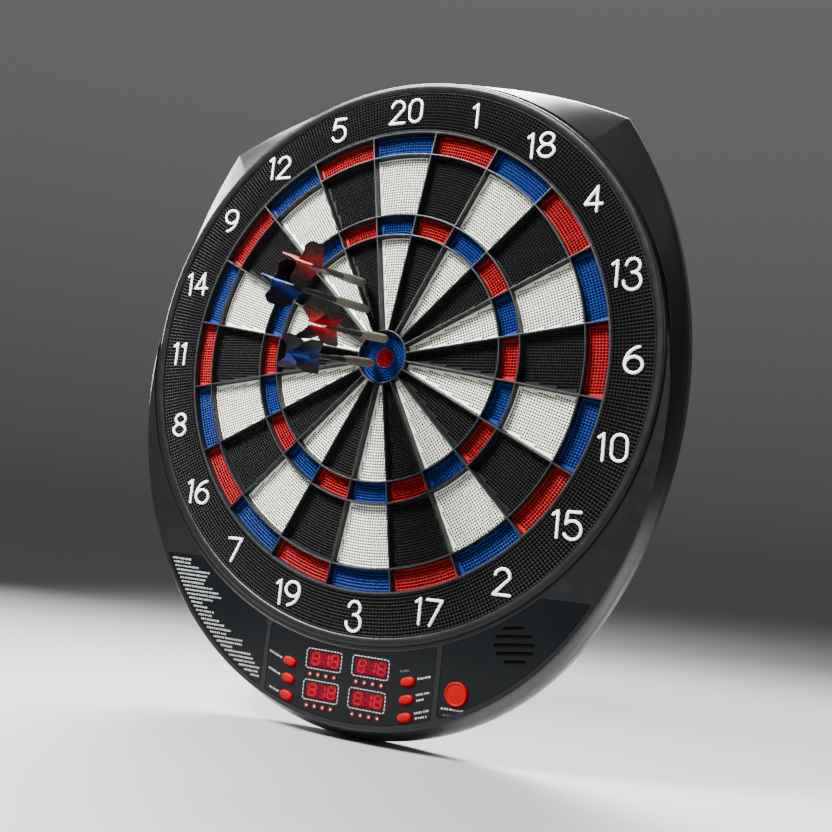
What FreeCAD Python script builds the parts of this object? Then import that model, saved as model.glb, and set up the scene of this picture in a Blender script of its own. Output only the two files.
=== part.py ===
"""Electronic dartboard: a wall-hung, soft-tip target with a scoring panel, and four darts stuck in it.

Frame: +Z up, +X to the right, the player stands towards -Y.  The origin is on the wall plane, straight
behind the middle of the bull.  Most pieces are plates parallel to the wall, so their places are given as
distances in front of the wall, and their sketches as x to the right and z up.
"""
import FreeCAD
import Part
import Sketcher
import math
import os
from FreeCAD import Placement, Rotation, Vector

doc = FreeCAD.newDocument("Dartboard")

# ---------------------------------------------------------------------------------------------------
# Driving dimensions, in millimetres and degrees.
# ---------------------------------------------------------------------------------------------------
DIMENSIONS = {
    # how far cuts run past the surfaces they open
    "overcut": 1.0,
    # distances in front of the wall
    "rim_front": 12.0,
    "spider_front": 30.0,
    "spider_back": 17.3,
    "face_front": 31.5,
    "skin": 2.5,
    "wall_thickness": 2.6,
    # outline of the housing
    "half_width": 219.5,
    "top_height": 213.0,
    "bottom_depth": 275.8,
    "corner_x": 167.0,
    "side_radius": 331.0,
    "bottom_radius": 197.3,
    # outline of the flat front face, inside the rim
    "face_top": 209.0,
    "face_corner": 204.5,
    "face_half_width": 211.5,
    "face_bottom": 265.0,
    "face_inset": 5.0,
    # raised ring round the target
    "lip_inner": 202.5,
    "lip_outer": 209.5,
    "lip_tube": 205.5,
    "lip_tube_back": 19.0,
    "lip_stock": 5.0,
    "lip_root": 4.0,
    "lip_shoulder": 1.5,
    "lip_round": 3.2,
    "lip_crown": 0.1,
    "lip_bulge_x": 1.2,
    "lip_bulge_y": 0.2,
    "groove_width": 1.6,
    "groove_depth": 1.2,
    # target rings, on the centre lines of the ribs
    "double_outer": 171.5,
    "double_inner": 154.8,
    "triple_outer": 108.1,
    "triple_inner": 92.5,
    "bull_outer": 19.7,
    "bull_inner": 7.1,
    "rib": 1.6,
    "gap": 0.3,
    # target segments
    "segment_front": 24.5,
    "segment_back": 15.5,
    "flange": 1.5,
    "flange_reach": 0.5,
    "target_edge": 173.8,
    # catch ring
    "catch_inner": 174.0,
    "catch_outer": 202.3,
    "catch_plate": 4.0,
    "catch_skirt": 2.4,
    "catch_skirt_back": 14.0,
    "boss_circle": 188.0,
    "boss_size": 4.0,
    # raised numbers
    "number_circle": 188.3,
    "number_half_height": 8.7,
    "number_half_width": 6.0,
    "number_stroke": 2.1,
    "number_relief": 0.8,
    "number_gap": 1.0,
    "number_one_width": 0.55,
    # sensing stack behind the segments
    "backing_front": 12.0,
    "backing_thickness": 3.0,
    "backing_size": 198.0,
    "membrane_size": 173.0,
    "membrane_thickness": 0.4,
    "pad_thickness": 1.8,
    # control panel plates
    "panel_depth": 1.2,
    "panel_thickness": 1.0,
    "panel_fit": 0.2,
    "panel_ring": 212.0,
    "panel_split": 68.3,
    "panel_bar": 4.0,
    "panel_edge": 2.5,
    "panel_top": 160.0,
    # displays
    "display_x": 19.1,
    "display_upper": 223.0,
    "display_lower": 246.1,
    "window_width": 26.0,
    "window_height": 11.8,
    "display_back": 18.6,
    "display_front": 29.2,
    "window_gap": 0.2,
    "window_sink": 1.4,
    "window_thickness": 1.2,
    "led_size": 1.4,
    "led_pitch": 6.75,
    "led_drop": 10.9,
    "led_gap": 0.3,
    "led_proud": 0.5,
    # buttons
    "button_x": 48.6,
    "button_top": 227.3,
    "button_pitch": 12.1,
    "button_width": 11.0,
    "button_height": 6.6,
    "button_front": 33.6,
    "button_flange": 27.0,
    "button_foot": 0.8,
    "button_foot_thickness": 1.2,
    "button_tilt": 15.0,
    "round_x": 85.6,
    "round_z": 230.0,
    "round_size": 8.3,
    "button_gap": 0.35,
    # speaker
    "speaker_x": 123.5,
    "speaker_z": 192.6,
    "speaker_size": 14.5,
    "slot_pitch": 5.4,
    "slot_height": 2.4,
    "slot_tilt": 7.0,
    # electronics
    "board_back": 17.0,
    "board_thickness": 1.6,
    "board_inset": 2.0,
    "board_low": 8.0,
    "board_reach": 14.0,
    "board_shoulder": 218.0,
    "keypad_back": 22.6,
    "keypad_thickness": 1.6,
    "keypad_width": 15.0,
    "keypad_margin": 3.0,
    "keypad_round": 2.0,
    "stem_size": 2.5,
    "round_stem_size": 3.5,
    "cone_back": 24.0,
    "cone_depth": 4.5,
    "magnet_back": 18.0,
    "magnet_share": 0.6,
    "ribbon_width": 20.0,
    "ribbon_drop": 27.0,
    "ribbon_slope": 14.0,
    "ribbon_foot": 8.0,
    # back cover, hangers, screws and power inlet
    "cover_thickness": 2.5,
    "cover_fit": 0.4,
    "hanger_spacing": 120.0,
    "hanger_height": 130.0,
    "hanger_entry": 5.0,
    "hanger_slot": 2.25,
    "hanger_rise": 10.0,
    "screw_shank": 1.4,
    "screw_head": 2.8,
    "screw_length": 11.0,
    "screw_sink": 1.6,
    "head_fit": 0.2,
    "head_recess": 0.2,
    "shank_fit": 0.15,
    "thread_fit": 0.05,
    "driver_slot_length": 4.0,
    "driver_slot_width": 0.9,
    "driver_slot_depth": 0.8,
    "post_size": 4.2,
    "post_hole_front": 14.0,
    "post_edge": 1.0,
    "post_corner": 6.0,
    "post_side_angle": -24.0,
    "post_low_x": 118.0,
    "post_low_z": -222.0,
    "post_bottom_x": 62.0,
    "post_bottom_z": -252.0,
    "inlet_front": 7.2,
    "inlet_size": 4.2,
    "inlet_bore": 2.8,
    "inlet_length": 14.0,
    "inlet_depth": 11.0,
    "inlet_fit": 0.2,
    "inlet_hole": 4.0,
    # darts, measured along each dart from the face of the target segments
    "dart_depth": 7.0,
    "dart_tip": 0.6,
    "dart_hole": 1.15,
    "drill_length": 40.0,
    "tip_taper": 4.0,
    "tip_share": 0.5,
    "neck_share": 0.4,
    "collar_size": 1.5,
    "collar_length": 0.2,
    "barrel_length": 42.0,
    "barrel_size": 3.3,
    "barrel_nose": 1.9,
    "barrel_shoulder": 2.9,
    "barrel_rear": 2.6,
    "nose_length": 2.5,
    "shoulder_length": 7.0,
    "barrel_tail": 10.0,
    "shaft_length": 42.0,
    "shaft_size": 2.3,
    "shaft_swell_size": 2.42,
    "shaft_swell_length": 6.0,
    "shaft_waist": 1.61,
    "shaft_tip": 1.38,
    "shaft_tail": 4.0,
    "flight_overlap": 8.0,
    "flight_length": 34.0,
    "flight_reach": 16.0,
    "flight_thickness": 0.6,
}

sheet = doc.addObject("Spreadsheet::Sheet", "Sizes")
for row, (alias, number) in enumerate(DIMENSIONS.items(), start=1):
    sheet.set("A%d" % row, alias)
    sheet.set("B%d" % row, str(number))
    sheet.setAlias("B%d" % row, alias)
doc.recompute()


def size(alias):
    """The number in the sheet's cell of that name."""
    return float(sheet.get(alias))


NUMBERS = [20, 1, 18, 4, 13, 6, 10, 15, 2, 17, 3, 19, 7, 16, 8, 11, 14, 9, 12, 5]
SECTOR = 360.0 / len(NUMBERS)
BOSSES = 8
nodes = []


# ---------------------------------------------------------------------------------------------------
# Plane geometry.  Angles are clockwise from the top of the target, as the player sees it.
# ---------------------------------------------------------------------------------------------------
def polar(radius, angle):
    a = math.radians(angle)
    return Vector(radius * math.sin(a), radius * math.cos(a), 0)


def line(start, end):
    return Part.LineSegment(start, end)


def arc(start, middle, end):
    return Part.Arc(start, middle, end)


def circle(x, z, radius):
    return Part.Circle(Vector(x, z, 0), Vector(0, 0, 1), radius)


def polygon(points):
    return [line(points[i], points[(i + 1) % len(points)]) for i in range(len(points))]


def rectangle(x, z, width, height):
    w = width / 2
    h = height / 2
    corners = [(-w, -h), (w, -h), (w, h), (-w, h)]
    return polygon([Vector(x + dx, z + dz, 0) for dx, dz in corners])


def slot(x, z, width, height, tilt=0.0):
    """A round-ended slot: width along its length, turned anticlockwise by tilt."""
    r = height / 2
    half = width / 2 - r
    turn = Rotation(Vector(0, 0, 1), tilt)

    def at(u, v):
        return Vector(x, z, 0) + turn.multVec(Vector(u, v, 0))

    return [line(at(-half, r), at(half, r)), arc(at(half, r), at(half + r, 0), at(half, -r)),
            line(at(half, -r), at(-half, -r)), arc(at(-half, -r), at(-half - r, 0), at(-half, r))]


def cell(inner, outer, side, angle):
    """One target cell: between two radii, its sides parallel to the spokes and side away from them."""

    def edge(radius):
        return SECTOR / 2 - math.degrees(math.asin(side / radius))

    a = edge(inner)
    b = edge(outer)
    return [arc(polar(outer, angle - b), polar(outer, angle), polar(outer, angle + b)),
            line(polar(outer, angle + b), polar(inner, angle + a)),
            arc(polar(inner, angle + a), polar(inner, angle), polar(inner, angle - a)),
            line(polar(inner, angle - a), polar(outer, angle - b))]


RINGS = [("double_inner", "double_outer"), ("triple_outer", "double_inner"),
         ("triple_inner", "triple_outer"), ("bull_outer", "triple_inner")]


def cells(margin, angle):
    """The four cells of one number, each kept margin away from the ribs' centre lines."""
    wires = []
    for inner, outer in RINGS:
        wires += cell(size(inner) + margin, size(outer) - margin, margin, angle)
    return wires


# ---------------------------------------------------------------------------------------------------
# The housing's outline: a top arc, two side arcs that meet it at a corner, and a bottom arc tangent to
# the side arcs.
# ---------------------------------------------------------------------------------------------------
SIDE_X = size("half_width") - size("side_radius")
BOTTOM_Z = size("bottom_radius") - size("bottom_depth")
CENTRES = size("side_radius") - size("bottom_radius")
SIDE_Z = BOTTOM_Z + math.sqrt(CENTRES ** 2 - SIDE_X ** 2)
CORNER_Z = SIDE_Z + math.sqrt(size("side_radius") ** 2 - (size("corner_x") - SIDE_X) ** 2)
TOP_SAG = size("top_height") - CORNER_Z
TOP_RADIUS = (size("corner_x") ** 2 + TOP_SAG ** 2) / (2 * TOP_SAG)
TOP_Z = size("top_height") - TOP_RADIUS
JOIN = Vector(-SIDE_X, BOTTOM_Z - SIDE_Z, 0).normalize()


def corner(inset):
    """Where the top arc and the right side arc meet, both moved in by inset."""
    top = TOP_RADIUS - inset
    side = size("side_radius") - inset
    apart = Vector(SIDE_X, SIDE_Z - TOP_Z, 0)
    along = (top ** 2 - side ** 2 + apart.Length ** 2) / (2 * apart.Length)
    across = math.sqrt(top ** 2 - along ** 2)
    u = Vector(apart).normalize()
    v = Vector(u.y, -u.x, 0)
    return Vector(0, TOP_Z, 0) + u * along + v * across


def mirrored(point):
    return Vector(-point.x, point.y, 0)


def closed_outline(top, side_corner, side, join, bottom):
    """Four arcs through five points of the right half, and their mirror images."""
    return [arc(mirrored(side_corner), top, side_corner), arc(side_corner, side, join),
            arc(join, bottom, mirrored(join)), arc(mirrored(join), mirrored(side), mirrored(side_corner))]


def rim_outline(inset=0.0):
    side = Vector(size("half_width") - inset, SIDE_Z, 0)
    join = Vector(SIDE_X, SIDE_Z, 0) + JOIN * (size("side_radius") - inset)
    top = Vector(0, size("top_height") - inset, 0)
    bottom = Vector(0, inset - size("bottom_depth"), 0)
    return closed_outline(top, corner(inset), side, join, bottom)


def face_join(inset=0.0):
    return Vector(SIDE_X, SIDE_Z, 0) + JOIN * (size("side_radius") - size("face_inset") - inset)


def face_outline(inset=0.0):
    """The outline of the front face, which the facets and bevels run up to from the rim."""
    away = math.degrees(math.atan2(size("corner_x"), CORNER_Z))
    side = Vector(size("face_half_width") - inset, SIDE_Z, 0)
    top = Vector(0, size("face_top") - inset, 0)
    bottom = Vector(0, inset - size("face_bottom"), 0)
    return closed_outline(top, polar(size("face_corner") - inset, away), side, face_join(inset), bottom)


def face_bottom_arc(inset):
    """Centre height and radius of the face outline's bottom arc, moved in by inset."""
    join = face_join()
    sag = join.y + size("face_bottom")
    radius = (join.x ** 2 + sag ** 2) / (2 * sag)
    return radius - size("face_bottom"), radius - inset


def on_bottom_arc(x, inset):
    height, radius = face_bottom_arc(inset)
    return Vector(x, height - math.sqrt(radius ** 2 - x ** 2), 0)


def on_circle(x, radius):
    """The point of a circle round the bull, in its lower half."""
    return Vector(x, -math.sqrt(radius ** 2 - x ** 2), 0)


def centre_panel(inset=0.0):
    """Between the raised ring and the bottom of the face, and between the two dividing bars."""
    x = size("panel_split") - inset
    ring = size("panel_ring") + inset
    low = size("panel_edge") + inset
    return [arc(on_circle(-x, ring), on_circle(0, ring), on_circle(x, ring)),
            line(on_circle(x, ring), on_bottom_arc(x, low)),
            arc(on_bottom_arc(x, low), on_bottom_arc(0, low), on_bottom_arc(-x, low)),
            line(on_bottom_arc(-x, low), on_circle(-x, ring))]


def side_panel(side, inset=0.0):
    """The right (side 1) or left (side -1) panel, beyond the dividing bar."""
    x = size("panel_split") + size("panel_bar") + inset
    ring = size("panel_ring") + inset
    low = size("panel_edge") + inset
    z = size("panel_top") + inset
    top_in = Vector(math.sqrt(ring ** 2 - z ** 2), -z, 0)
    height, radius = face_bottom_arc(low)
    top_out = Vector(math.sqrt(radius ** 2 - (height + z) ** 2), -z, 0)
    middle = (x + top_in.x) / 2
    low_middle = (x + top_out.x) / 2
    points = [top_in, on_circle(middle, ring), on_circle(x, ring), on_bottom_arc(x, low),
              on_bottom_arc(low_middle, low), top_out]
    p = [Vector(side * q.x, q.y, 0) for q in points]
    return [arc(p[0], p[1], p[2]), line(p[2], p[3]), arc(p[3], p[4], p[5]), line(p[5], p[0])]


# ---------------------------------------------------------------------------------------------------
# Document objects.
# ---------------------------------------------------------------------------------------------------
def new_body(label):
    body = doc.addObject("PartDesign::Body", label)
    body.Label = label
    body.AllowCompound = True
    return body


def origin(body, role):
    return [f for f in body.Origin.OriginFeatures if f.Role == role][0]


def sketch(body, name, distance, geometry, plane="XZ_Plane"):
    """A sketch on one of the body's own planes, moved along its normal by a sheet expression."""
    drawing = body.newObject("Sketcher::SketchObject", body.Label + "_" + name)
    drawing.AttachmentSupport = [(origin(body, plane), "")]
    drawing.MapMode = "FlatFace"
    drawing.addGeometry(geometry, False)
    drawing.setExpression(".AttachmentOffset.Base.z", distance)
    return drawing


def pad(body, name, distance, geometry, length):
    """A plate towards the player, starting at a distance in front of the wall."""
    feature = body.newObject("PartDesign::Pad", body.Label + "_" + name + "_pad")
    feature.Profile = sketch(body, name, distance, geometry)
    feature.setExpression("Length", length)
    body.Tip = feature
    return feature


def pocket(body, name, distance, geometry, length):
    """A hole from a distance in front of the wall towards the wall."""
    before = solid_volume(body)
    feature = body.newObject("PartDesign::Pocket", body.Label + "_" + name + "_pocket")
    feature.Profile = sketch(body, name, distance, geometry)
    feature.setExpression("Length", length)
    body.Tip = feature
    if solid_volume(body) > before - 1e-3:
        raise RuntimeError("pocket %s in %s cuts nothing" % (name, body.Label))
    return feature


def solid_volume(body):
    doc.recompute()
    return body.Shape.Volume


def polar_pattern(body, feature, count):
    pattern = body.newObject("PartDesign::PolarPattern", feature.Name + "_pattern")
    pattern.Originals = [feature]
    pattern.Axis = (origin(body, "Y_Axis"), [""])
    pattern.Angle = 360
    pattern.Occurrences = count
    body.Tip = pattern
    return pattern


def sized_circles(body, name, distance, centres, radius):
    """A sketch of equal circles whose radius is bound to the sheet."""
    drawing = sketch(body, name, distance, [circle(x, z, size(radius)) for x, z in centres])
    for index in range(len(centres)):
        constraint = drawing.addConstraint(Sketcher.Constraint("Radius", index, size(radius)))
        drawing.setExpression("Constraints[%d]" % constraint, "Sizes." + radius)
    return drawing


def keep(piece, label):
    """Adds a finished piece to the list of nodes."""
    piece.Label = label
    nodes.append(piece)
    return piece


# ---------------------------------------------------------------------------------------------------
# Places that several pieces share.
# ---------------------------------------------------------------------------------------------------
def display_places():
    x = size("display_x")
    return [(sx, -size(row)) for row in ("display_upper", "display_lower") for sx in (-x, x)]


def led_places():
    places = []
    for x, z in display_places():
        for step in (-1.5, -0.5, 0.5, 1.5):
            places.append((x + step * size("led_pitch"), z - size("led_drop")))
    return places


def button_places():
    """The oval buttons in two columns, their outer ends turned up."""
    places = []
    for side, name in ((-1, "left"), (1, "right")):
        for row, level in enumerate(("upper", "middle", "lower")):
            z = -size("button_top") - row * size("button_pitch")
            tilt = side * size("button_tilt")
            places.append((name + "_" + level + "_button", side * size("button_x"), z, tilt))
    return places


def speaker_slots():
    """Five slots across the speaker's circle, the middle one the longest."""
    tilt = math.radians(size("slot_tilt"))
    wires = []
    for step in (-2, -1, 0, 1, 2):
        away = step * size("slot_pitch")
        length = 2 * math.sqrt(size("speaker_size") ** 2 - (1.15 * away) ** 2)
        x = size("speaker_x") - away * math.sin(tilt)
        z = -size("speaker_z") + away * math.cos(tilt)
        wires += slot(x, z, length, size("slot_height"), size("slot_tilt"))
    return wires


def post_places():
    """Where the back cover's screws go: eight posts round the housing, outside the target."""
    inset = size("wall_thickness") + size("post_size") + size("post_edge")
    angle = math.radians(size("post_side_angle"))
    top = corner(inset + size("post_corner"))
    side = Vector(math.cos(angle), math.sin(angle), 0) * (size("side_radius") - inset)
    side += Vector(SIDE_X, SIDE_Z, 0)
    low = Vector(size("post_low_x"), size("post_low_z"), 0)
    bottom = Vector(size("post_bottom_x"), size("post_bottom_z"), 0)
    return [(sx * p.x, p.y) for p in (top, side, low, bottom) for sx in (-1, 1)]


DARTS = [
    # entry x and z on the segments' face, aim towards +X and +Z per unit towards the player,
    # stand-off of the barrel, roll of the flight
    ("dart_1", -22.4, 56.3, 0.115, -0.125, 4.0, 70.0),
    ("dart_2", -14.6, 35.3, -0.100, -0.050, 5.6, 60.0),
    ("dart_3", 0.8, 14.0, 0.037, -0.122, 2.0, 35.0),
    ("dart_4", -8.6, -4.4, -0.002, -0.126, 2.0, 35.0),
]


def dart_placement(x, z, aim_x, aim_z, roll):
    """Puts a dart drawn along +Z, with the segments' face at 0, into its hole in the target."""
    tail = Vector(aim_x, -1, aim_z).normalize()
    turn = Rotation(Vector(0, 0, 1), tail).multiply(Rotation(Vector(0, 0, 1), roll))
    return Placement(Vector(x, -size("segment_front"), z), turn)


# ---------------------------------------------------------------------------------------------------
# Casing.
# ---------------------------------------------------------------------------------------------------
def ruled_loft(body, kind, name, back, front):
    """A loft of straight facets between two outlines, each given with its distance from the wall."""
    feature = body.newObject("PartDesign::" + kind, body.Label + "_" + name)
    feature.Profile = sketch(body, name + "_back", *back)
    feature.Sections = [sketch(body, name + "_front", *front)]
    feature.Ruled = True
    body.Tip = feature


def make_housing_cavity():
    """The space inside the housing, less the posts for the cover's screws and the target's tube."""
    body = new_body("housing_cavity")
    thickness = size("wall_thickness")
    ruled_loft(body, "AdditiveLoft", "facets", ("Sizes.rim_front", rim_outline(thickness)),
               ("Sizes.face_front - Sizes.skin", face_outline(thickness)))
    pad(body, "wall", "-Sizes.overcut", rim_outline(thickness), "Sizes.rim_front + Sizes.overcut")
    posts = [circle(x, z, size("post_size")) for x, z in post_places()]
    pocket(body, "posts", "Sizes.face_front", posts, "Sizes.face_front - Sizes.cover_thickness")
    tube = [circle(0, 0, size("lip_tube")), circle(0, 0, size("lip_inner") - size("lip_stock"))]
    pocket(body, "tube", "Sizes.face_front", tube, "Sizes.face_front - Sizes.lip_tube_back")
    return body


def make_front_housing():
    cavity = make_housing_cavity()
    body = new_body("front_housing")
    ruled_loft(body, "AdditiveLoft", "facets", ("Sizes.rim_front", rim_outline()),
               ("Sizes.face_front", face_outline()))
    pad(body, "wall", "0", rim_outline(), "Sizes.rim_front")
    hollow = body.newObject("PartDesign::Boolean", "front_housing_hollow")
    hollow.Type = "Cut"
    hollow.setObjects([cavity])
    body.Tip = hollow
    add_lip(body)
    opening = sized_circles(body, "opening", "Sizes.face_front + Sizes.overcut", [(0, 0)], "lip_inner")
    through = body.newObject("PartDesign::Pocket", "front_housing_opening_pocket")
    through.Profile = opening
    through.setExpression("Length", "Sizes.face_front + 2 * Sizes.overcut")
    body.Tip = through
    panels = centre_panel() + side_panel(1) + side_panel(-1)
    above = "Sizes.face_front + Sizes.overcut"
    pocket(body, "panels", above, panels, "Sizes.panel_depth + Sizes.overcut")
    add_control_holes(body)
    screws = [circle(x, z, size("screw_shank") + size("thread_fit")) for x, z in post_places()]
    pocket(body, "screw_holes", "Sizes.post_hole_front", screws, "Sizes.post_hole_front")
    add_inlet_hole(body)
    keep(body, "front_housing")


def add_lip(body):
    """The raised ring: a rounded bead on the front face, with a shallow groove outside it."""
    inner = size("lip_inner") - size("lip_stock")
    outer = size("lip_outer")
    root = size("lip_root") - size("face_front")
    shoulder = size("lip_shoulder") - size("face_front")
    crown = -size("lip_crown") - size("face_front")
    bulge = Vector(outer - size("lip_bulge_x"), size("lip_bulge_y") - size("face_front"), 0)
    p = [Vector(inner, root, 0), Vector(outer, root, 0), Vector(outer, shoulder, 0),
         Vector(outer - size("lip_round"), crown, 0), Vector(inner, crown, 0)]
    profile = [line(p[0], p[1]), line(p[1], p[2]), arc(p[2], bulge, p[3]), line(p[3], p[4]),
               line(p[4], p[0])]
    drawing = sketch(body, "lip", "0", profile, plane="XY_Plane")
    groove = [circle(0, 0, outer + size("groove_width")), circle(0, 0, outer - size("overcut"))]
    above = "Sizes.face_front + Sizes.overcut"
    pocket(body, "groove", above, groove, "Sizes.groove_depth + Sizes.overcut")
    lip = body.newObject("PartDesign::Revolution", "front_housing_lip")
    lip.Profile = drawing
    lip.ReferenceAxis = (origin(body, "Y_Axis"), [""])
    lip.Angle = 360
    body.Tip = lip


def score_panel_holes():
    """Openings for the oval buttons, the displays and the indicator lights."""
    gap = size("button_gap")
    width = size("button_width") + 2 * gap
    height = size("button_height") + 2 * gap
    holes = []
    for label, x, z, tilt in button_places():
        holes += slot(x, z, width, height, tilt)
    pane_width = size("window_width") + 2 * size("window_gap")
    pane_height = size("window_height") + 2 * size("window_gap")
    for x, z in display_places():
        holes += rectangle(x, z, pane_width, pane_height)
    holes += [circle(x, z, size("led_size") + size("led_gap")) for x, z in led_places()]
    return holes


def round_button_hole():
    return [circle(size("round_x"), -size("round_z"), size("round_size") + size("button_gap"))]


def add_control_holes(body):
    """The same openings through the housing's skin as through the panel plates on it."""
    depth = "Sizes.skin + Sizes.overcut"
    pocket(body, "controls", "Sizes.face_front", score_panel_holes() + round_button_hole(), depth)
    pocket(body, "speaker_slots", "Sizes.face_front", speaker_slots(), depth)


def add_inlet_hole(body):
    """A round hole up through the bottom wall for the power inlet."""
    outline = [circle(0, -size("inlet_front"), size("inlet_size") + size("inlet_fit"))]
    drawing = sketch(body, "inlet", "-Sizes.bottom_depth - Sizes.overcut", outline, plane="XY_Plane")
    hole = body.newObject("PartDesign::Pocket", "front_housing_inlet_pocket")
    hole.Profile = drawing
    hole.Reversed = True
    hole.setExpression("Length", "Sizes.inlet_hole + Sizes.overcut")
    body.Tip = hole


def make_back_cover():
    body = new_body("back_cover")
    edge = size("wall_thickness") + size("cover_fit")
    pad(body, "plate", "0", rim_outline(edge), "Sizes.cover_thickness")
    x = size("hanger_spacing") / 2
    z = size("hanger_height")
    entry = size("hanger_entry")
    neck = size("hanger_slot")
    rise = size("hanger_rise")
    base = math.sqrt(entry ** 2 - neck ** 2)
    wires = []
    for side in (-x, x):
        left = Vector(side - neck, z + base, 0)
        right = Vector(side + neck, z + base, 0)
        top_left = left + Vector(0, rise, 0)
        top_right = right + Vector(0, rise, 0)
        wires += [arc(left, Vector(side, z - entry, 0), right), line(right, top_right),
                  arc(top_right, top_left + Vector(neck, neck, 0), top_left), line(top_left, left)]
    pocket(body, "keyholes", "Sizes.cover_thickness", wires, "Sizes.cover_thickness")
    shanks = [circle(px, pz, size("screw_shank") + size("shank_fit")) for px, pz in post_places()]
    pocket(body, "screw_holes", "Sizes.cover_thickness", shanks, "Sizes.cover_thickness")
    heads = [circle(px, pz, size("screw_head") + size("head_fit")) for px, pz in post_places()]
    pocket(body, "screw_sinks", "Sizes.screw_sink", heads, "Sizes.screw_sink")
    keep(body, "back_cover")


def make_cover_screws():
    """Pan-head screws, heads sunk in the back cover, shanks in the housing's posts."""
    body = new_body("cover_screws")
    heads = sized_circles(body, "heads", "Sizes.head_recess", post_places(), "screw_head")
    head = body.newObject("PartDesign::Pad", "cover_screws_heads_pad")
    head.Profile = heads
    head.setExpression("Length", "Sizes.screw_sink - Sizes.head_recess")
    body.Tip = head
    shanks = [circle(x, z, size("screw_shank")) for x, z in post_places()]
    pad(body, "shanks", "Sizes.screw_sink", shanks, "Sizes.screw_length")
    length = size("driver_slot_length")
    width = size("driver_slot_width")
    slots = [edge for x, z in post_places() for edge in slot(x, z, length, width)]
    pocket(body, "slots", "Sizes.driver_slot_depth", slots, "Sizes.driver_slot_depth")
    keep(body, "cover_screws")


def make_power_inlet():
    """Round DC inlet in the bottom wall, its mouth facing down."""
    body = new_body("power_inlet")
    centre = [circle(0, -size("inlet_front"), size("inlet_size"))]
    bore = [circle(0, -size("inlet_front"), size("inlet_bore"))]
    barrel = body.newObject("PartDesign::Pad", "power_inlet_pad")
    barrel.Profile = sketch(body, "barrel", "-Sizes.bottom_depth", centre, plane="XY_Plane")
    barrel.setExpression("Length", "Sizes.inlet_length")
    body.Tip = barrel
    mouth = body.newObject("PartDesign::Pocket", "power_inlet_pocket")
    mouth.Profile = sketch(body, "bore", "-Sizes.bottom_depth", bore, plane="XY_Plane")
    mouth.Reversed = True
    mouth.setExpression("Length", "Sizes.inlet_depth")
    body.Tip = mouth
    keep(body, "power_inlet")


# ---------------------------------------------------------------------------------------------------
# Target.
# ---------------------------------------------------------------------------------------------------
def make_spider():
    body = new_body("spider")
    disc = sized_circles(body, "disc", "Sizes.spider_back", [(0, 0)], "target_edge")
    web = body.newObject("PartDesign::Pad", "spider_disc_pad")
    web.Profile = disc
    web.setExpression("Length", "Sizes.spider_front - Sizes.spider_back")
    body.Tip = web
    depth = "Sizes.spider_front - Sizes.spider_back"
    sector = pocket(body, "sector", "Sizes.spider_front", cells(size("rib") / 2, 0.0), depth)
    polar_pattern(body, sector, len(NUMBERS))
    bull = [circle(0, 0, size("bull_outer") - size("rib") / 2)]
    pocket(body, "bull", "Sizes.spider_front", bull, depth)
    keep(body, "spider")


def make_segments():
    """One node for each number: its double, outer single, triple and inner single."""
    side = size("rib") / 2 + size("gap")
    drilled = {5: DARTS[:2]}
    for index, number in enumerate(NUMBERS):
        body = new_body("segments_%02d" % number)
        angle = index * SECTOR
        foot = side - size("flange_reach")
        pad(body, "feet", "Sizes.segment_back", cells(foot, angle), "Sizes.flange")
        pad(body, "plates", "Sizes.segment_back + Sizes.flange", cells(side, angle),
            "Sizes.segment_front - Sizes.segment_back - Sizes.flange")
        piece = drill(body, drilled[number]) if number in drilled else body
        keep(piece, "segments_%02d" % number)


def drill(body, darts):
    """Opens a hole for each dart that is stuck in a segment, along the dart."""
    label = body.Label
    body.Label = label + "_undrilled"
    piece = body
    for name, x, z, aim_x, aim_z, standoff, roll in darts:
        tool = doc.addObject("Part::Cylinder", name + "_hole")
        tool.setExpression("Radius", "Sizes.dart_hole")
        tool.setExpression("Height", "Sizes.drill_length")
        place = dart_placement(x, z, aim_x, aim_z, roll)
        tool.Placement = place.multiply(Placement(Vector(0, 0, -size("drill_length") / 2), Rotation()))
        cut = doc.addObject("Part::Cut", label + "_" + name)
        cut.Base = piece
        cut.Tool = tool
        piece = cut
    return piece


def make_bull():
    outer = new_body("outer_bull_segment")
    wide = size("bull_outer") - size("rib") / 2 - size("gap")
    narrow = size("bull_inner") + size("gap") / 2
    reach = size("flange_reach")
    feet = [circle(0, 0, wide + reach), circle(0, 0, narrow)]
    pad(outer, "foot", "Sizes.segment_back", feet, "Sizes.flange")
    pad(outer, "plate", "Sizes.segment_back + Sizes.flange", [circle(0, 0, wide), circle(0, 0, narrow)],
        "Sizes.segment_front - Sizes.segment_back - Sizes.flange")
    keep(drill(outer, DARTS[2:]), "outer_bull_segment")
    inner = new_body("inner_bull_segment")
    pad(inner, "plate", "Sizes.segment_back", [circle(0, 0, size("bull_inner") - size("gap") / 2)],
        "Sizes.segment_front - Sizes.segment_back")
    keep(inner, "inner_bull_segment")


def make_catch_ring():
    body = new_body("catch_ring")
    ring = [circle(0, 0, size("catch_outer")), circle(0, 0, size("catch_inner"))]
    pad(body, "plate", "Sizes.spider_front - Sizes.catch_plate", ring, "Sizes.catch_plate")
    skirt = [circle(0, 0, size("catch_outer")), circle(0, 0, size("catch_outer") - size("catch_skirt"))]
    pad(body, "skirt", "Sizes.catch_skirt_back", skirt,
        "Sizes.spider_front - Sizes.catch_plate - Sizes.catch_skirt_back")
    centres = [polar(size("boss_circle"), (i + 0.5) * 360 / BOSSES) for i in range(BOSSES)]
    bosses = [circle(p.x, p.y, size("boss_size")) for p in centres]
    pad(body, "bosses", "Sizes.backing_front", bosses,
        "Sizes.spider_front - Sizes.catch_plate - Sizes.backing_front")
    keep(body, "catch_ring")


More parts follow.
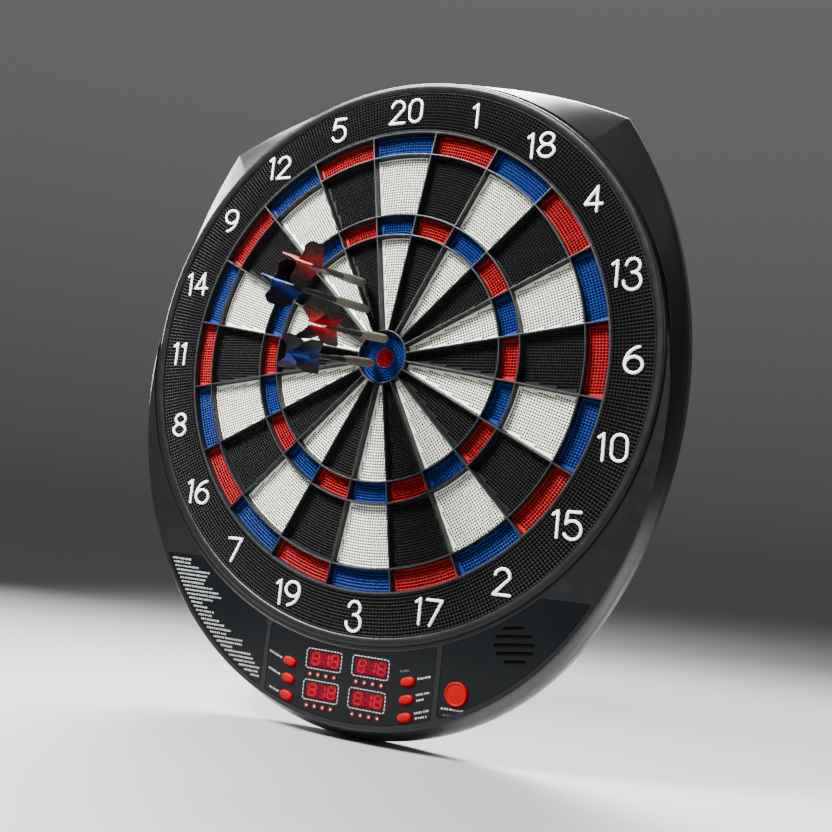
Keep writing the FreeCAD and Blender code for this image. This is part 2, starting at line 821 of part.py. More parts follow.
def glyph(digit):
    """The strokes of one digit about its middle, as lines and arcs."""
    w = size("number_half_width")
    top = size("number_half_height")

    def p(x, z):
        return Vector(x * w, z * top, 0)

    def bowl(cx, cz, rx, rz):
        return [arc(p(cx - rx, cz), p(cx, cz + rz), p(cx + rx, cz)),
                arc(p(cx + rx, cz), p(cx, cz - rz), p(cx - rx, cz))]

    if digit == "0":
        return [arc(p(-0.85, 0.4), p(0, 1), p(0.85, 0.4)), line(p(0.85, 0.4), p(0.85, -0.4)),
                arc(p(0.85, -0.4), p(0, -1), p(-0.85, -0.4)), line(p(-0.85, -0.4), p(-0.85, 0.4))]
    if digit == "1":
        return [line(p(-0.4, 0.72), p(0.15, 1)), line(p(0.15, 1), p(0.15, -1))]
    if digit == "2":
        return [arc(p(-0.9, 0.5), p(0.05, 1), p(0.85, 0.3)), line(p(0.85, 0.3), p(-1, -1)),
                line(p(-1, -1), p(1, -1))]
    if digit == "3":
        return [arc(p(-0.8, 0.65), p(0.75, 0.55), p(-0.1, 0.06)),
                arc(p(-0.1, 0.06), p(0.95, -0.5), p(-1, -0.62))]
    if digit == "4":
        return [line(p(0.4, 1), p(-1, -0.4)), line(p(-1, -0.4), p(1, -0.4)), line(p(0.4, 1), p(0.4, -1))]
    if digit == "5":
        return [line(p(0.8, 1), p(-0.65, 1)), line(p(-0.65, 1), p(-0.85, 0.08)),
                arc(p(-0.85, 0.08), p(0.95, -0.35), p(-0.95, -0.7))]
    if digit == "6":
        return bowl(0, -0.38, 1, 0.62) + [arc(p(-1, -0.38), p(-0.62, 0.5), p(0.55, 1))]
    if digit == "7":
        return [line(p(-0.95, 1), p(0.95, 1)), line(p(0.95, 1), p(-0.4, -1))]
    if digit == "8":
        return bowl(0, 0.52, 0.82, 0.48) + bowl(0, -0.48, 1, 0.52)
    return bowl(0, 0.38, 1, 0.62) + [arc(p(1, 0.38), p(0.62, -0.5), p(-0.55, -1))]


def stroke_outline(edge, half):
    """The outline of one line or arc drawn with a round pen of that half width."""
    shape = edge.toShape()
    start = shape.valueAt(shape.FirstParameter)
    end = shape.valueAt(shape.LastParameter)
    if isinstance(edge, Part.LineSegment):
        along = (end - start).normalize() * half
        side = Vector(-along.y, along.x, 0)
        return [line(start + side, end + side), arc(end + side, end + along, end - side),
                line(end - side, start - side), arc(start - side, start - along, start + side)]
    centre = shape.Curve.Center
    radius = shape.Curve.Radius
    out_start = (start - centre).normalize()
    out_end = (end - centre).normalize()
    middle = shape.valueAt((shape.FirstParameter + shape.LastParameter) / 2)
    out_middle = (middle - centre).normalize()
    turn = 1 if out_start.cross(out_middle).z > 0 else -1
    back = Vector(out_start.y, -out_start.x, 0) * turn * half
    ahead = Vector(-out_end.y, out_end.x, 0) * turn * half
    wide = radius + half
    narrow = radius - half
    return [arc(centre + out_start * wide, centre + out_middle * wide, centre + out_end * wide),
            arc(centre + out_end * wide, end + ahead, centre + out_end * narrow),
            arc(centre + out_end * narrow, centre + out_middle * narrow, centre + out_start * narrow),
            arc(centre + out_start * narrow, start + back, centre + out_start * wide)]


def digit_solid(digit, x, z):
    """A raised digit: every stroke widened with round ends and given the relief's height."""
    relief = Vector(0, 0, size("number_relief"))
    strokes = []
    for edge in glyph(digit):
        wire = Part.Wire([e.toShape() for e in stroke_outline(edge, size("number_stroke") / 2)])
        strokes.append(Part.Face(wire).extrude(relief))
    solid = strokes[0].multiFuse(strokes[1:]).removeSplitter() if len(strokes) > 1 else strokes[0]
    solid.translate(Vector(x, z, 0))
    return solid


def make_dial_numbers():
    """The numbers stand upright round the catch ring, on its front face."""
    digits = []
    for index, number in enumerate(NUMBERS):
        middle = polar(size("number_circle"), index * SECTOR)
        text = str(number)
        widths = [size("number_one_width") if c == "1" else 1.0 for c in text]
        pitch = size("number_half_width") * 2 + size("number_stroke") + size("number_gap")
        total = sum(widths) * pitch
        left = middle.x - total / 2
        for character, width in zip(text, widths):
            digits.append(digit_solid(character, left + width * pitch / 2, middle.y))
            left += width * pitch
    numbers = doc.addObject("Part::Feature", "dial_numbers")
    numbers.Shape = Part.makeCompound([s for d in digits for s in d.Solids])
    numbers.Placement = Placement(Vector(0, -size("spider_front"), 0), Rotation(Vector(1, 0, 0), 90))
    keep(numbers, "dial_numbers")


def make_sensing_stack():
    back = new_body("backing_plate")
    disc = sized_circles(back, "disc", "Sizes.backing_front - Sizes.backing_thickness", [(0, 0)],
                         "backing_size")
    plate = back.newObject("PartDesign::Pad", "backing_plate_pad")
    plate.Profile = disc
    plate.setExpression("Length", "Sizes.backing_thickness")
    back.Tip = plate
    keep(back, "backing_plate")
    film = new_body("sensor_membrane")
    pad(film, "disc", "Sizes.backing_front", [circle(0, 0, size("membrane_size"))],
        "Sizes.membrane_thickness")
    keep(film, "sensor_membrane")
    rubber = new_body("sensor_pad")
    pad(rubber, "disc", "Sizes.backing_front + Sizes.membrane_thickness",
        [circle(0, 0, size("membrane_size"))], "Sizes.pad_thickness")
    keep(rubber, "sensor_pad")


# ---------------------------------------------------------------------------------------------------
# Control panel and electronics.
# ---------------------------------------------------------------------------------------------------
def make_panels():
    fit = size("panel_fit")
    plates = [("score_panel", centre_panel(fit), score_panel_holes()),
              ("game_list_panel", side_panel(-1, fit), []),
              ("speaker_panel", side_panel(1, fit), round_button_hole() + speaker_slots())]
    front = "Sizes.face_front - Sizes.panel_depth"
    for label, outline, holes in plates:
        body = new_body(label)
        pad(body, "plate", front, outline, "Sizes.panel_thickness")
        if holes:
            pocket(body, "holes", "Sizes.face_front", holes, "Sizes.panel_depth")
        keep(body, label)


def make_displays():
    windows = new_body("display_windows")
    panes = [e for x, z in display_places()
             for e in rectangle(x, z, size("window_width"), size("window_height"))]
    pad(windows, "panes", "Sizes.face_front - Sizes.window_sink", panes, "Sizes.window_thickness")
    keep(windows, "display_windows")
    modules = new_body("led_displays")
    width = size("window_width") - 2 * size("window_gap")
    height = size("window_height") - 2 * size("window_gap")
    blocks = [e for x, z in display_places() for e in rectangle(x, z, width, height)]
    pad(modules, "blocks", "Sizes.display_back", blocks, "Sizes.display_front - Sizes.display_back")
    lamps = [circle(x, z, size("led_size")) for x, z in led_places()]
    pad(modules, "lamps", "Sizes.display_back", lamps,
        "Sizes.face_front + Sizes.led_proud - Sizes.display_back")
    keep(modules, "led_displays")


def make_buttons():
    """Caps that stand proud of the panel, each with a wider foot behind the housing's skin."""
    width = size("button_width")
    height = size("button_height")
    foot = size("button_foot")
    outlines = []
    for label, x, z, tilt in button_places():
        wide = slot(x, z, width + 2 * foot, height + 2 * foot, tilt)
        outlines.append((label, wide, slot(x, z, width, height, tilt)))
    x = size("round_x")
    z = -size("round_z")
    radius = size("round_size")
    outlines.append(("round_button", [circle(x, z, radius + foot)], [circle(x, z, radius)]))
    for label, foot_outline, cap_outline in outlines:
        body = new_body(label)
        pad(body, "foot", "Sizes.button_flange", foot_outline, "Sizes.button_foot_thickness")
        pad(body, "cap", "Sizes.button_flange + Sizes.button_foot_thickness", cap_outline,
            "Sizes.button_front - Sizes.button_flange - Sizes.button_foot_thickness")
        keep(body, label)


def board_outline():
    """The circuit board follows the centre panel and reaches out under the round button."""
    x = size("panel_split") - size("board_inset")
    ring = size("panel_ring") + size("board_inset")
    low = size("board_low")
    right = size("round_x") + size("board_reach")
    shoulder = Vector(right, -size("board_shoulder"), 0)
    return [arc(on_circle(-x, ring), on_circle(0, ring), on_circle(x, ring)),
            line(on_circle(x, ring), shoulder), line(shoulder, on_bottom_arc(right, low)),
            arc(on_bottom_arc(right, low), on_bottom_arc(0, low), on_bottom_arc(-x, low)),
            line(on_bottom_arc(-x, low), on_circle(-x, ring))]


def make_electronics():
    board = new_body("main_circuit_board")
    pad(board, "plate", "Sizes.board_back", board_outline(), "Sizes.board_thickness")
    keep(board, "main_circuit_board")
    make_keypad()
    driver = new_body("speaker_driver")
    x = size("speaker_x")
    z = -size("speaker_z")
    radius = size("speaker_size")
    pad(driver, "cone", "Sizes.cone_back", [circle(x, z, radius)], "Sizes.cone_depth")
    pad(driver, "magnet", "Sizes.magnet_back", [circle(x, z, radius * size("magnet_share"))],
        "Sizes.cone_back - Sizes.magnet_back")
    keep(driver, "speaker_driver")
    make_ribbon_cable()


def make_keypad():
    """Rubber sheets under the two columns of buttons and the round one, on stems from the board."""
    body = new_body("button_keypad")
    pitch = size("button_pitch")
    round_x = size("round_x")
    round_z = -size("round_z")
    sheets = []
    for side in (-1, 1):
        sheets += rectangle(side * size("button_x"), -size("button_top") - pitch, size("keypad_width"),
                            3 * pitch - size("keypad_margin"))
    sheets.append(circle(round_x, round_z, size("round_size") + size("keypad_round")))
    pad(body, "sheet", "Sizes.keypad_back", sheets, "Sizes.keypad_thickness")
    stems = [circle(x, z, size("stem_size")) for label, x, z, tilt in button_places()]
    stems.append(circle(round_x, round_z, size("round_stem_size")))
    pad(body, "stems", "Sizes.board_back + Sizes.board_thickness", stems,
        "Sizes.keypad_back - Sizes.board_back - Sizes.board_thickness")
    keep(body, "button_keypad")


def make_ribbon_cable():
    """A flat tail of the membrane that runs down behind the catch ring to the circuit board."""
    body = new_body("ribbon_cable")
    thick = size("membrane_thickness")
    low = size("backing_front")
    board = size("board_back")
    start = -size("membrane_size")
    bend = start - size("ribbon_drop")
    end = bend - size("ribbon_slope")
    foot = end - size("ribbon_foot")
    path = [(-low, start), (-low, bend), (thick - board, end), (thick - board, foot),
            (-board, foot), (-board, end), (-low - thick, bend), (-low - thick, start)]
    side = [Vector(y, z, 0) for y, z in path]
    drawing = sketch(body, "side", "-Sizes.ribbon_width / 2", polygon(side), plane="YZ_Plane")
    tail = body.newObject("PartDesign::Pad", "ribbon_cable_pad")
    tail.Profile = drawing
    tail.setExpression("Length", "Sizes.ribbon_width")
    body.Tip = tail
    keep(body, "ribbon_cable")


# ---------------------------------------------------------------------------------------------------
# Darts, each drawn along +Z with its point down the hole below 0.
# ---------------------------------------------------------------------------------------------------
def turned(body, name, profile):
    """A turned piece: the profile's corners as radius and height, revolved about the dart's axis."""
    drawing = sketch(body, name, "0", polygon([Vector(r, h, 0) for r, h in profile]), plane="XZ_Plane")
    turn = body.newObject("PartDesign::Revolution", body.Label + "_" + name + "_turn")
    turn.Profile = drawing
    turn.ReferenceAxis = (origin(body, "Z_Axis"), [""])
    turn.Angle = 360
    body.Tip = turn


def point_profile(standoff):
    depth = size("dart_depth")
    tip = size("dart_tip")
    collar = size("collar_size")
    back = standoff + size("collar_length")
    return [(0, -depth), (tip * size("tip_share"), -depth), (tip, size("tip_taper") - depth),
            (tip, standoff * size("neck_share")), (collar, standoff), (collar, back), (0, back)]


def barrel_profile(standoff, rear):
    front = standoff + size("collar_length")
    full = size("barrel_size")
    return [(0, front), (size("barrel_nose"), front),
            (size("barrel_shoulder"), standoff + size("nose_length")),
            (full, standoff + size("shoulder_length")), (full, rear - size("barrel_tail")),
            (size("barrel_rear"), rear), (0, rear)]


def shaft_profile(rear, end):
    tail = end + size("shaft_tail")
    return [(0, rear), (size("shaft_size"), rear),
            (size("shaft_swell_size"), rear + size("shaft_swell_length")),
            (size("shaft_waist"), end - size("flight_overlap")), (size("shaft_tip"), tail), (0, tail)]


def make_darts():
    for name, x, z, aim_x, aim_z, standoff, roll in DARTS:
        place = dart_placement(x, z, aim_x, aim_z, roll)
        rear = standoff + size("barrel_length")
        end = rear + size("shaft_length")
        point = new_body(name + "_point")
        turned(point, "point", point_profile(standoff))
        barrel = new_body(name + "_barrel")
        turned(barrel, "barrel", barrel_profile(standoff, rear))
        flight = new_body(name + "_shaft_and_flight")
        turned(flight, "shaft", shaft_profile(rear, end))
        add_vanes(flight, end - size("flight_overlap"))
        for body, suffix in ((point, "_point"), (barrel, "_barrel"), (flight, "_shaft_and_flight")):
            body.Placement = place
            keep(body, name + suffix)


# Half of the flight's outline, from the front: shares of its reach and of its length.
VANE = [(0.06, 0.0), (0.55, 0.15), (1.0, 0.45), (1.0, 0.8), (0.5, 1.0)]


def add_vanes(body, start):
    """Two crossed plates: the flight's four vanes."""
    half = [(size("flight_reach") * r, start + size("flight_length") * h) for r, h in VANE]
    outline = [Vector(r, h, 0) for r, h in half] + [Vector(-r, h, 0) for r, h in reversed(half)]
    back = "-Sizes.flight_thickness / 2"
    for plane in ("XZ_Plane", "YZ_Plane"):
        vane = body.newObject("PartDesign::Pad", body.Label + "_vane_" + plane)
        vane.Profile = sketch(body, "vane_" + plane, back, polygon(outline), plane=plane)
        vane.setExpression("Length", "Sizes.flight_thickness")
        body.Tip = vane


make_front_housing()
make_back_cover()
make_cover_screws()
make_power_inlet()
make_spider()
make_segments()
make_bull()
make_catch_ring()
make_dial_numbers()
make_sensing_stack()
make_panels()
make_displays()
make_buttons()
make_electronics()
make_darts()
doc.recompute()

faults = [o.Name for o in doc.Objects if "Invalid" in o.State or "Error" in o.State]
faults += [n.Label for n in nodes if n.Shape.isNull() or not n.Shape.isValid() or not n.Shape.Solids]
if faults:
    raise RuntimeError("failed: " + ", ".join(faults))

os.makedirs("parts", exist_ok=True)
for node in nodes:
    node.Shape.exportStep("parts/%s.step" % node.Label)
    box = node.Shape.optimalBoundingBox(False)
    print("%-28s %3d solids  x %7.1f %7.1f  y %7.1f %7.1f  z %7.1f %7.1f" % (
        node.Label, len(node.Shape.Solids), box.XMin, box.XMax, box.YMin, box.YMax, box.ZMin, box.ZMax))
print(len(nodes), "nodes")
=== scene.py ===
import math

import bmesh
import bpy
import numpy as np
from mathutils import Matrix, Vector

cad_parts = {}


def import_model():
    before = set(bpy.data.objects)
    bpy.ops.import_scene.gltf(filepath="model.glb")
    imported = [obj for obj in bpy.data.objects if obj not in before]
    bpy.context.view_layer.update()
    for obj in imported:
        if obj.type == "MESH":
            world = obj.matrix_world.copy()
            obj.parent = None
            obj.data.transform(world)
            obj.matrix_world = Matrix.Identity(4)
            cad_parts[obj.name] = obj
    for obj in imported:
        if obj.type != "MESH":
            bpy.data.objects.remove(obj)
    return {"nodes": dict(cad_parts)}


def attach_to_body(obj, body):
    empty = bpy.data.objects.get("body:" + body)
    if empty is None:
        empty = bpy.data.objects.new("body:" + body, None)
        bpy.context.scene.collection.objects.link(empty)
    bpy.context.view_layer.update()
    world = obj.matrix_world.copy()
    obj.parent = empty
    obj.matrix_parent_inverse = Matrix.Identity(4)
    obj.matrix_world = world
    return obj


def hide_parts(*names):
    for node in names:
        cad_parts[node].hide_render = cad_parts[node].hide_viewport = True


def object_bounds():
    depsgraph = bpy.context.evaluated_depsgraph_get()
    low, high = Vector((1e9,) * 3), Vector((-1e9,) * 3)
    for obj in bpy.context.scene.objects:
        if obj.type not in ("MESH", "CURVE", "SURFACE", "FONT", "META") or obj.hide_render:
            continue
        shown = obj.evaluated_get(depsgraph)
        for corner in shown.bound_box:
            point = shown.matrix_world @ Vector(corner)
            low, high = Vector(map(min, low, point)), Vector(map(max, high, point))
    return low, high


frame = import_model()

cad_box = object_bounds()

# ---------------------------------------------------------------------------------------------------
# Lengths are in millimetres until the helpers place them.  x is to the right, z is up, and d is the
# distance in front of the wall.  Angles are clockwise from the top of the target, in degrees.
# ---------------------------------------------------------------------------------------------------
MM = 0.001
NUMBERS = [20, 1, 18, 4, 13, 6, 10, 15, 2, 17, 3, 19, 7, 16, 8, 11, 14, 9, 12, 5]
SECTOR = 18.0

SPIDER_TOP = 30.0
SEGMENT_TOP = 24.5
SEGMENT_BACK = 15.5
FACE = 31.5
RIM = 12.0
DOUBLE_OUTER, DOUBLE_INNER = 171.5, 154.8
TRIPLE_OUTER, TRIPLE_INNER = 108.1, 92.5
BULL_OUTER = 19.7
RINGS = [(DOUBLE_INNER, DOUBLE_OUTER), (TRIPLE_OUTER, DOUBLE_INNER),
         (TRIPLE_INNER, TRIPLE_OUTER), (BULL_OUTER, TRIPLE_INNER)]
PITCH = 2.08


def polar(radius, angle):
    """The x and z of a point about the bull."""
    a = math.radians(angle)
    return radius * math.sin(a), radius * math.cos(a)


def new_object(name, data):
    obj = bpy.data.objects.new(name, data)
    bpy.context.scene.collection.objects.link(obj)
    return obj


def clean(data, merge=0.0, flat=0.0):
    """Joins points closer than merge, dissolves edges flatter than flat and turns all faces outwards."""
    work = bmesh.new()
    work.from_mesh(data)
    if merge:
        bmesh.ops.remove_doubles(work, verts=work.verts, dist=merge)
    if flat:
        bmesh.ops.dissolve_limit(work, angle_limit=flat, verts=work.verts, edges=work.edges)
    bmesh.ops.recalc_face_normals(work, faces=work.faces)
    work.to_mesh(data)
    work.free()


def shade_smooth(data, angle):
    """Smooth shading, with edges sharper than the angle left crisp."""
    data.polygons.foreach_set("use_smooth", [True] * len(data.polygons))
    data.set_sharp_from_angle(angle=math.radians(angle))


def place(points):
    """Rows of x, z and d in millimetres, as Blender's x, y and z in metres."""
    p = np.asarray(points, float).reshape(-1, 3)
    return np.stack([p[:, 0], -p[:, 2], p[:, 1]], axis=1) * MM


# ---------------------------------------------------------------------------------------------------
# Materials.
# ---------------------------------------------------------------------------------------------------
def new_material(name):
    material = bpy.data.materials.new(name)
    material.use_nodes = True
    tree = material.node_tree
    shader = next(n for n in tree.nodes if n.type == "BSDF_PRINCIPLED")
    return material, tree, shader


def link(tree, a, out, b, socket):
    """Joins an output of node a to an input of node b."""
    tree.links.new(a.outputs[out], b.inputs[socket])


def coordinates(tree):
    return tree.nodes.new("ShaderNodeTexCoord")


def noise(tree, scale, detail=3.0, roughness=0.55, stretch=None):
    """Noise in the object's own coordinates, with scale in lumps per metre."""
    source = coordinates(tree)
    texture = tree.nodes.new("ShaderNodeTexNoise")
    texture.inputs["Scale"].default_value = scale
    texture.inputs["Detail"].default_value = detail
    texture.inputs["Roughness"].default_value = roughness
    if stretch:
        mapping = tree.nodes.new("ShaderNodeMapping")
        mapping.inputs["Scale"].default_value = stretch
        link(tree, source, "Object", mapping, "Vector")
        link(tree, mapping, "Vector", texture, "Vector")
    else:
        link(tree, source, "Object", texture, "Vector")
    return texture


def ramp(tree, source, out, stops):
    node = tree.nodes.new("ShaderNodeValToRGB")
    link(tree, source, out, node, "Fac")
    elements = node.color_ramp.elements
    while len(elements) > 1:
        elements.remove(elements[-1])
    for index, (position, colour) in enumerate(stops):
        element = elements[0] if index == 0 else elements.new(position)
        element.position = position
        element.color = (*colour, 1.0) if len(colour) == 3 else colour
    return node


def grey(value):
    return (value, value, value)


def tint(colour, factor):
    return tuple(min(1.0, c * factor) for c in colour)


def vary_input(tree, source, shader, socket, low, high, high_at=0.7):
    """Drives a shader input by noise, from the low colour at 0.3 to the high one."""
    node = ramp(tree, source, "Fac", [(0.3, low), (high_at, high)])
    link(tree, node, "Color", shader, socket)


def bump(tree, shader, height, out, strength, distance):
    node = tree.nodes.new("ShaderNodeBump")
    node.inputs["Strength"].default_value = strength
    node.inputs["Distance"].default_value = distance
    link(tree, height, out, node, "Height")
    link(tree, node, "Normal", shader, "Normal")


def plastic(name, colour, rough, spread=0.08, grain=9000.0, depth=0.00002, vary=0.12, specular=0.5):
    """Moulded plastic: cloudy gloss and shade, which spread and vary, over grain with a depth in metres."""
    material, tree, shader = new_material(name)
    cloud = noise(tree, 22.0, 4.0)
    vary_input(tree, cloud, shader, "Base Color", tint(colour, 1 - vary), tint(colour, 1 + vary))
    scuff = noise(tree, 120.0, 5.0, 0.65)
    vary_input(tree, scuff, shader, "Roughness", grey(rough - spread), grey(rough + spread), 0.75)
    fine = noise(tree, grain, 2.0)
    bump(tree, shader, fine, "Fac", 0.35, depth)
    shader.inputs["Specular IOR Level"].default_value = specular
    return material


def metal(name, colour, rough, stretch):
    """Turned or rolled metal with fine scratches along one direction."""
    material, tree, shader = new_material(name)
    lines = noise(tree, 900.0, 3.0, 0.6, stretch)
    vary_input(tree, lines, shader, "Base Color", tint(colour, 0.82), tint(colour, 1.1))
    vary_input(tree, lines, shader, "Roughness", grey(rough * 0.75), grey(rough * 1.25))
    bump(tree, shader, lines, "Fac", 0.25, 0.00002)
    shader.inputs["Metallic"].default_value = 1.0
    return material


def target_plastic(name, colour, rough, vary, specular=0.5):
    """The fine-grained plastic of the segments, the ring of holes round them and the numbers."""
    return plastic(name, colour, rough, 0.05, 9000.0, 0.000004, vary, specular)


# Each plastic has its colour, roughness and the spread of it, grain per metre and its depth, change of
# shade, and specular level.
HOUSING = plastic("housing_plastic", (0.0050, 0.0055, 0.0062), 0.33, 0.05, 6500.0, 0.00002, 0.08, 0.26)
SPIDER = plastic("spider_plastic", (0.0120, 0.0135, 0.0150), 0.42, 0.06, 9000.0, 0.00001, 0.10, 0.25)
CATCH = target_plastic("catch_plastic", (0.0058, 0.0058, 0.0060), 0.50, 0.12, 0.12)
WHITE = target_plastic("segment_white", (0.92, 0.935, 0.81), 0.50, 0.02, 0.20)
BLACK = target_plastic("segment_black", (0.0062, 0.0062, 0.0064), 0.52, 0.10, 0.12)
BLUE = target_plastic("segment_blue", (0.003, 0.024, 0.160), 0.50, 0.06, 0.12)
RED = target_plastic("segment_red", (0.30, 0.0030, 0.006), 0.50, 0.06, 0.12)
NUMBER = target_plastic("number_white", (0.86, 0.83, 0.815), 0.40, 0.03)
PRINT = plastic("print_white", (0.30, 0.31, 0.32), 0.45, 0.05, 9000.0, 0.00001, 0.10)
PANEL = plastic("panel_gloss", (0.0036, 0.0043, 0.0050), 0.20, 0.04, 3000.0, 0.000005, 0.12, 0.12)
BUTTON = plastic("button_red", (0.25, 0.0001, 0.0022), 0.38, 0.05, 6000.0, 0.00001, 0.05, 0.05)
# Near-black painted shade for a disc behind the speaker slots, so the slots look dark.
SLOT_SHADE = plastic("speaker_slot_painted_shade", (0.0018, 0.0018, 0.0019), 0.80, 0.05, 6000.0, 0.00005, 0.3, 0.05)
COVER = plastic("cover_plastic", (0.022, 0.022, 0.024), 0.55, 0.06, 1800.0, 0.00012, 0.12)
INLET = plastic("inlet_plastic", (0.015, 0.015, 0.015), 0.25, 0.05)
RUBBER = plastic("soft_rubber", (0.05, 0.05, 0.052), 0.75, 0.08, 2500.0, 0.00005)
BOARD = plastic("board_green", (0.02, 0.16, 0.06), 0.30, 0.05)
FILM = plastic("film", (0.55, 0.50, 0.38), 0.25, 0.05)
SCREW = metal("screw_steel", (0.55, 0.55, 0.56), 0.32, (1.0, 12.0, 1.0))
SPEAKER = metal("speaker_metal", (0.10, 0.10, 0.105), 0.45, (1.0, 8.0, 1.0))
DARK = plastic("dart_black", (0.007, 0.007, 0.008), 0.42, 0.06, 5000.0, 0.00001, 0.1, 0.25)
BARREL = plastic("dart_barrel", (0.150, 0.138, 0.110), 0.50, 0.10, 1300.0, 0.00008, 0.55, 0.2)


# Depths under the face between which the painted shade of a hole sets in.
FADE_START, FADE_END = 0.25, 0.80


def darken_holes(material, top, inside=0.002):
    """Little light gets down the holes, so a painted shade darkens the plastic's colour inside them."""
    tree = material.node_tree
    shader = next(n for n in tree.nodes if n.type == "BSDF_PRINCIPLED")
    shade = shader.inputs["Base Color"].links[0].from_node
    split = tree.nodes.new("ShaderNodeSeparateXYZ")
    link(tree, coordinates(tree), "Object", split, "Vector")
    depth = tree.nodes.new("ShaderNodeMapRange")
    depth.inputs["From Min"].default_value = -(top - FADE_START) * MM
    depth.inputs["From Max"].default_value = -(top - FADE_END) * MM
    link(tree, split, "Y", depth, "Value")
    mix = tree.nodes.new("ShaderNodeMix")
    mix.data_type = "RGBA"
    link(tree, depth, "Result", mix, "Factor")
    tree.links.new(shade.outputs["Color"], mix.inputs[6])
    # the colour of the painted shade deep in a hole
    mix.inputs[7].default_value = (inside, inside, 0.8 * inside, 1.0)
    tree.links.new(mix.outputs[2], shader.inputs["Base Color"])


# Painted shade inside the holes of the segments and the catch ring, paler in the white plastic.
darken_holes(WHITE, SEGMENT_TOP, 0.035)
for segment_material in (BLACK, BLUE, RED):
    darken_holes(segment_material, SEGMENT_TOP)
darken_holes(CATCH, SPIDER_TOP)

KEPT = {"back_cover": COVER, "cover_screws": SCREW, "power_inlet": INLET, "backing_plate": COVER,
        "sensor_membrane": FILM, "sensor_pad": RUBBER, "main_circuit_board": BOARD,
        "button_keypad": RUBBER, "speaker_driver": SPEAKER, "ribbon_cable": FILM}
for node, material in KEPT.items():
    slots = frame["nodes"][node].material_slots
    for kept_slot in slots:
        kept_slot.material = material
    if not slots:
        frame["nodes"][node].data.materials.append(material)


# ---------------------------------------------------------------------------------------------------
# Mesh helpers.
# ---------------------------------------------------------------------------------------------------
class Mesh:
    """Collects points (x, z, d) and faces for one piece."""

    def __init__(self):
        self.points = []
        self.faces = []
        self.count = 0

    def add(self, points, faces):
        points = np.asarray(points, float).reshape(-1, 3)
        start = self.count
        self.points.append(points)
        self.faces += [tuple(i + start for i in face) for face in faces]
        self.count += len(points)

    def grid(self, rows, close_rows=False, close_columns=False):
        """Quads between rows of points that all have the same length."""
        rows = np.asarray(rows, float)
        m, n = rows.shape[:2]
        faces = []
        for i in range(m if close_rows else m - 1):
            for j in range(n if close_columns else n - 1):
                a = i * n + j
                b = i * n + (j + 1) % n
                c = ((i + 1) % m) * n + (j + 1) % n
                e = ((i + 1) % m) * n + j
                faces.append((a, b, c, e))
        self.add(rows.reshape(-1, 3), faces)


def make_piece(name, mesh, material, body, replaces=(), angle=35.0, recalc=True, merge=1e-7,
               matrix=None):
    """Turns collected points and faces into an object that rides on a CAD body.

    With a matrix, which takes metres to the frame, the points are x, y and z in millimetres.
    """
    data = bpy.data.meshes.new(name)
    points = np.concatenate(mesh.points)
    data.from_pydata((place(points) if matrix is None else points * MM).tolist(), [], mesh.faces)
    if matrix is not None:
        data.transform(matrix)
    if recalc:
        clean(data, merge)
    shade_smooth(data, angle)
    data.materials.append(material)
    obj = new_object(name, data)
    attach(obj, body, replaces)
    return obj


def attach(obj, body, replaces=()):
    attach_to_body(obj, body)
    if replaces:
        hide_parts(*replaces)


# ---------------------------------------------------------------------------------------------------
# Hole lattices.  Each hole is a cell with raised corners, a funnel and a blind bore.
# ---------------------------------------------------------------------------------------------------
# Hole radii, then depths below the top: the funnel's foot, the dip between two holes and the bore's end.
HOLE, CATCH_HOLE = 0.50, 0.66
FUNNEL, SADDLE, BORE_END = 0.75, 0.30, 4.2
BORE_TAPER = 0.9
AROUND = [225, 270, 315, 0, 45, 90, 135, 180]


def hole_cells(mesh, corners, lowered, top, hole=HOLE):
    """corners: N x 4 x 2, anticlockwise from the inner left; lowered: N x 4, which sides dip."""
    corners = np.asarray(corners, float)
    lowered = np.asarray(lowered, float)
    count = len(corners)
    middle = corners.mean(axis=1)
    points = np.zeros((count, 24, 3))
    for side in range(4):
        here = corners[:, side]
        after = corners[:, (side + 1) % 4]
        points[:, 2 * side, :2] = here
        points[:, 2 * side, 2] = top
        points[:, 2 * side + 1, :2] = (here + after) / 2
        points[:, 2 * side + 1, 2] = top - SADDLE * lowered[:, side]
    axis_u = (corners[:, 1] - corners[:, 0]) / np.linalg.norm(corners[:, 1] - corners[:, 0], axis=1)[:, None]
    axis_v = np.stack([-axis_u[:, 1], axis_u[:, 0]], axis=1)
    for index, angle in enumerate(AROUND):
        a = math.radians(angle)
        out = axis_u * math.cos(a) + axis_v * math.sin(a)
        points[:, 8 + index, :2] = middle + out * hole
        points[:, 8 + index, 2] = top - FUNNEL
        points[:, 16 + index, :2] = middle + out * hole * BORE_TAPER
        points[:, 16 + index, 2] = top - BORE_END
    base = []
    for index in range(8):
        after = (index + 1) % 8
        base.append((index, after, 8 + after, 8 + index))
        base.append((8 + index, 8 + after, 16 + after, 16 + index))
    base.append(tuple(16 + index for index in range(8)))
    faces = []
    for cell in range(count):
        start = cell * 24
        faces += [tuple(i + start for i in face) for face in base]
    mesh.add(points, faces)


# The gap from a segment to the lines between cells, the land outside its holes, and its edge's bevel.
SEGMENT_GAP, SEGMENT_LAND, SEGMENT_BEVEL = 1.05, 0.55, 0.22


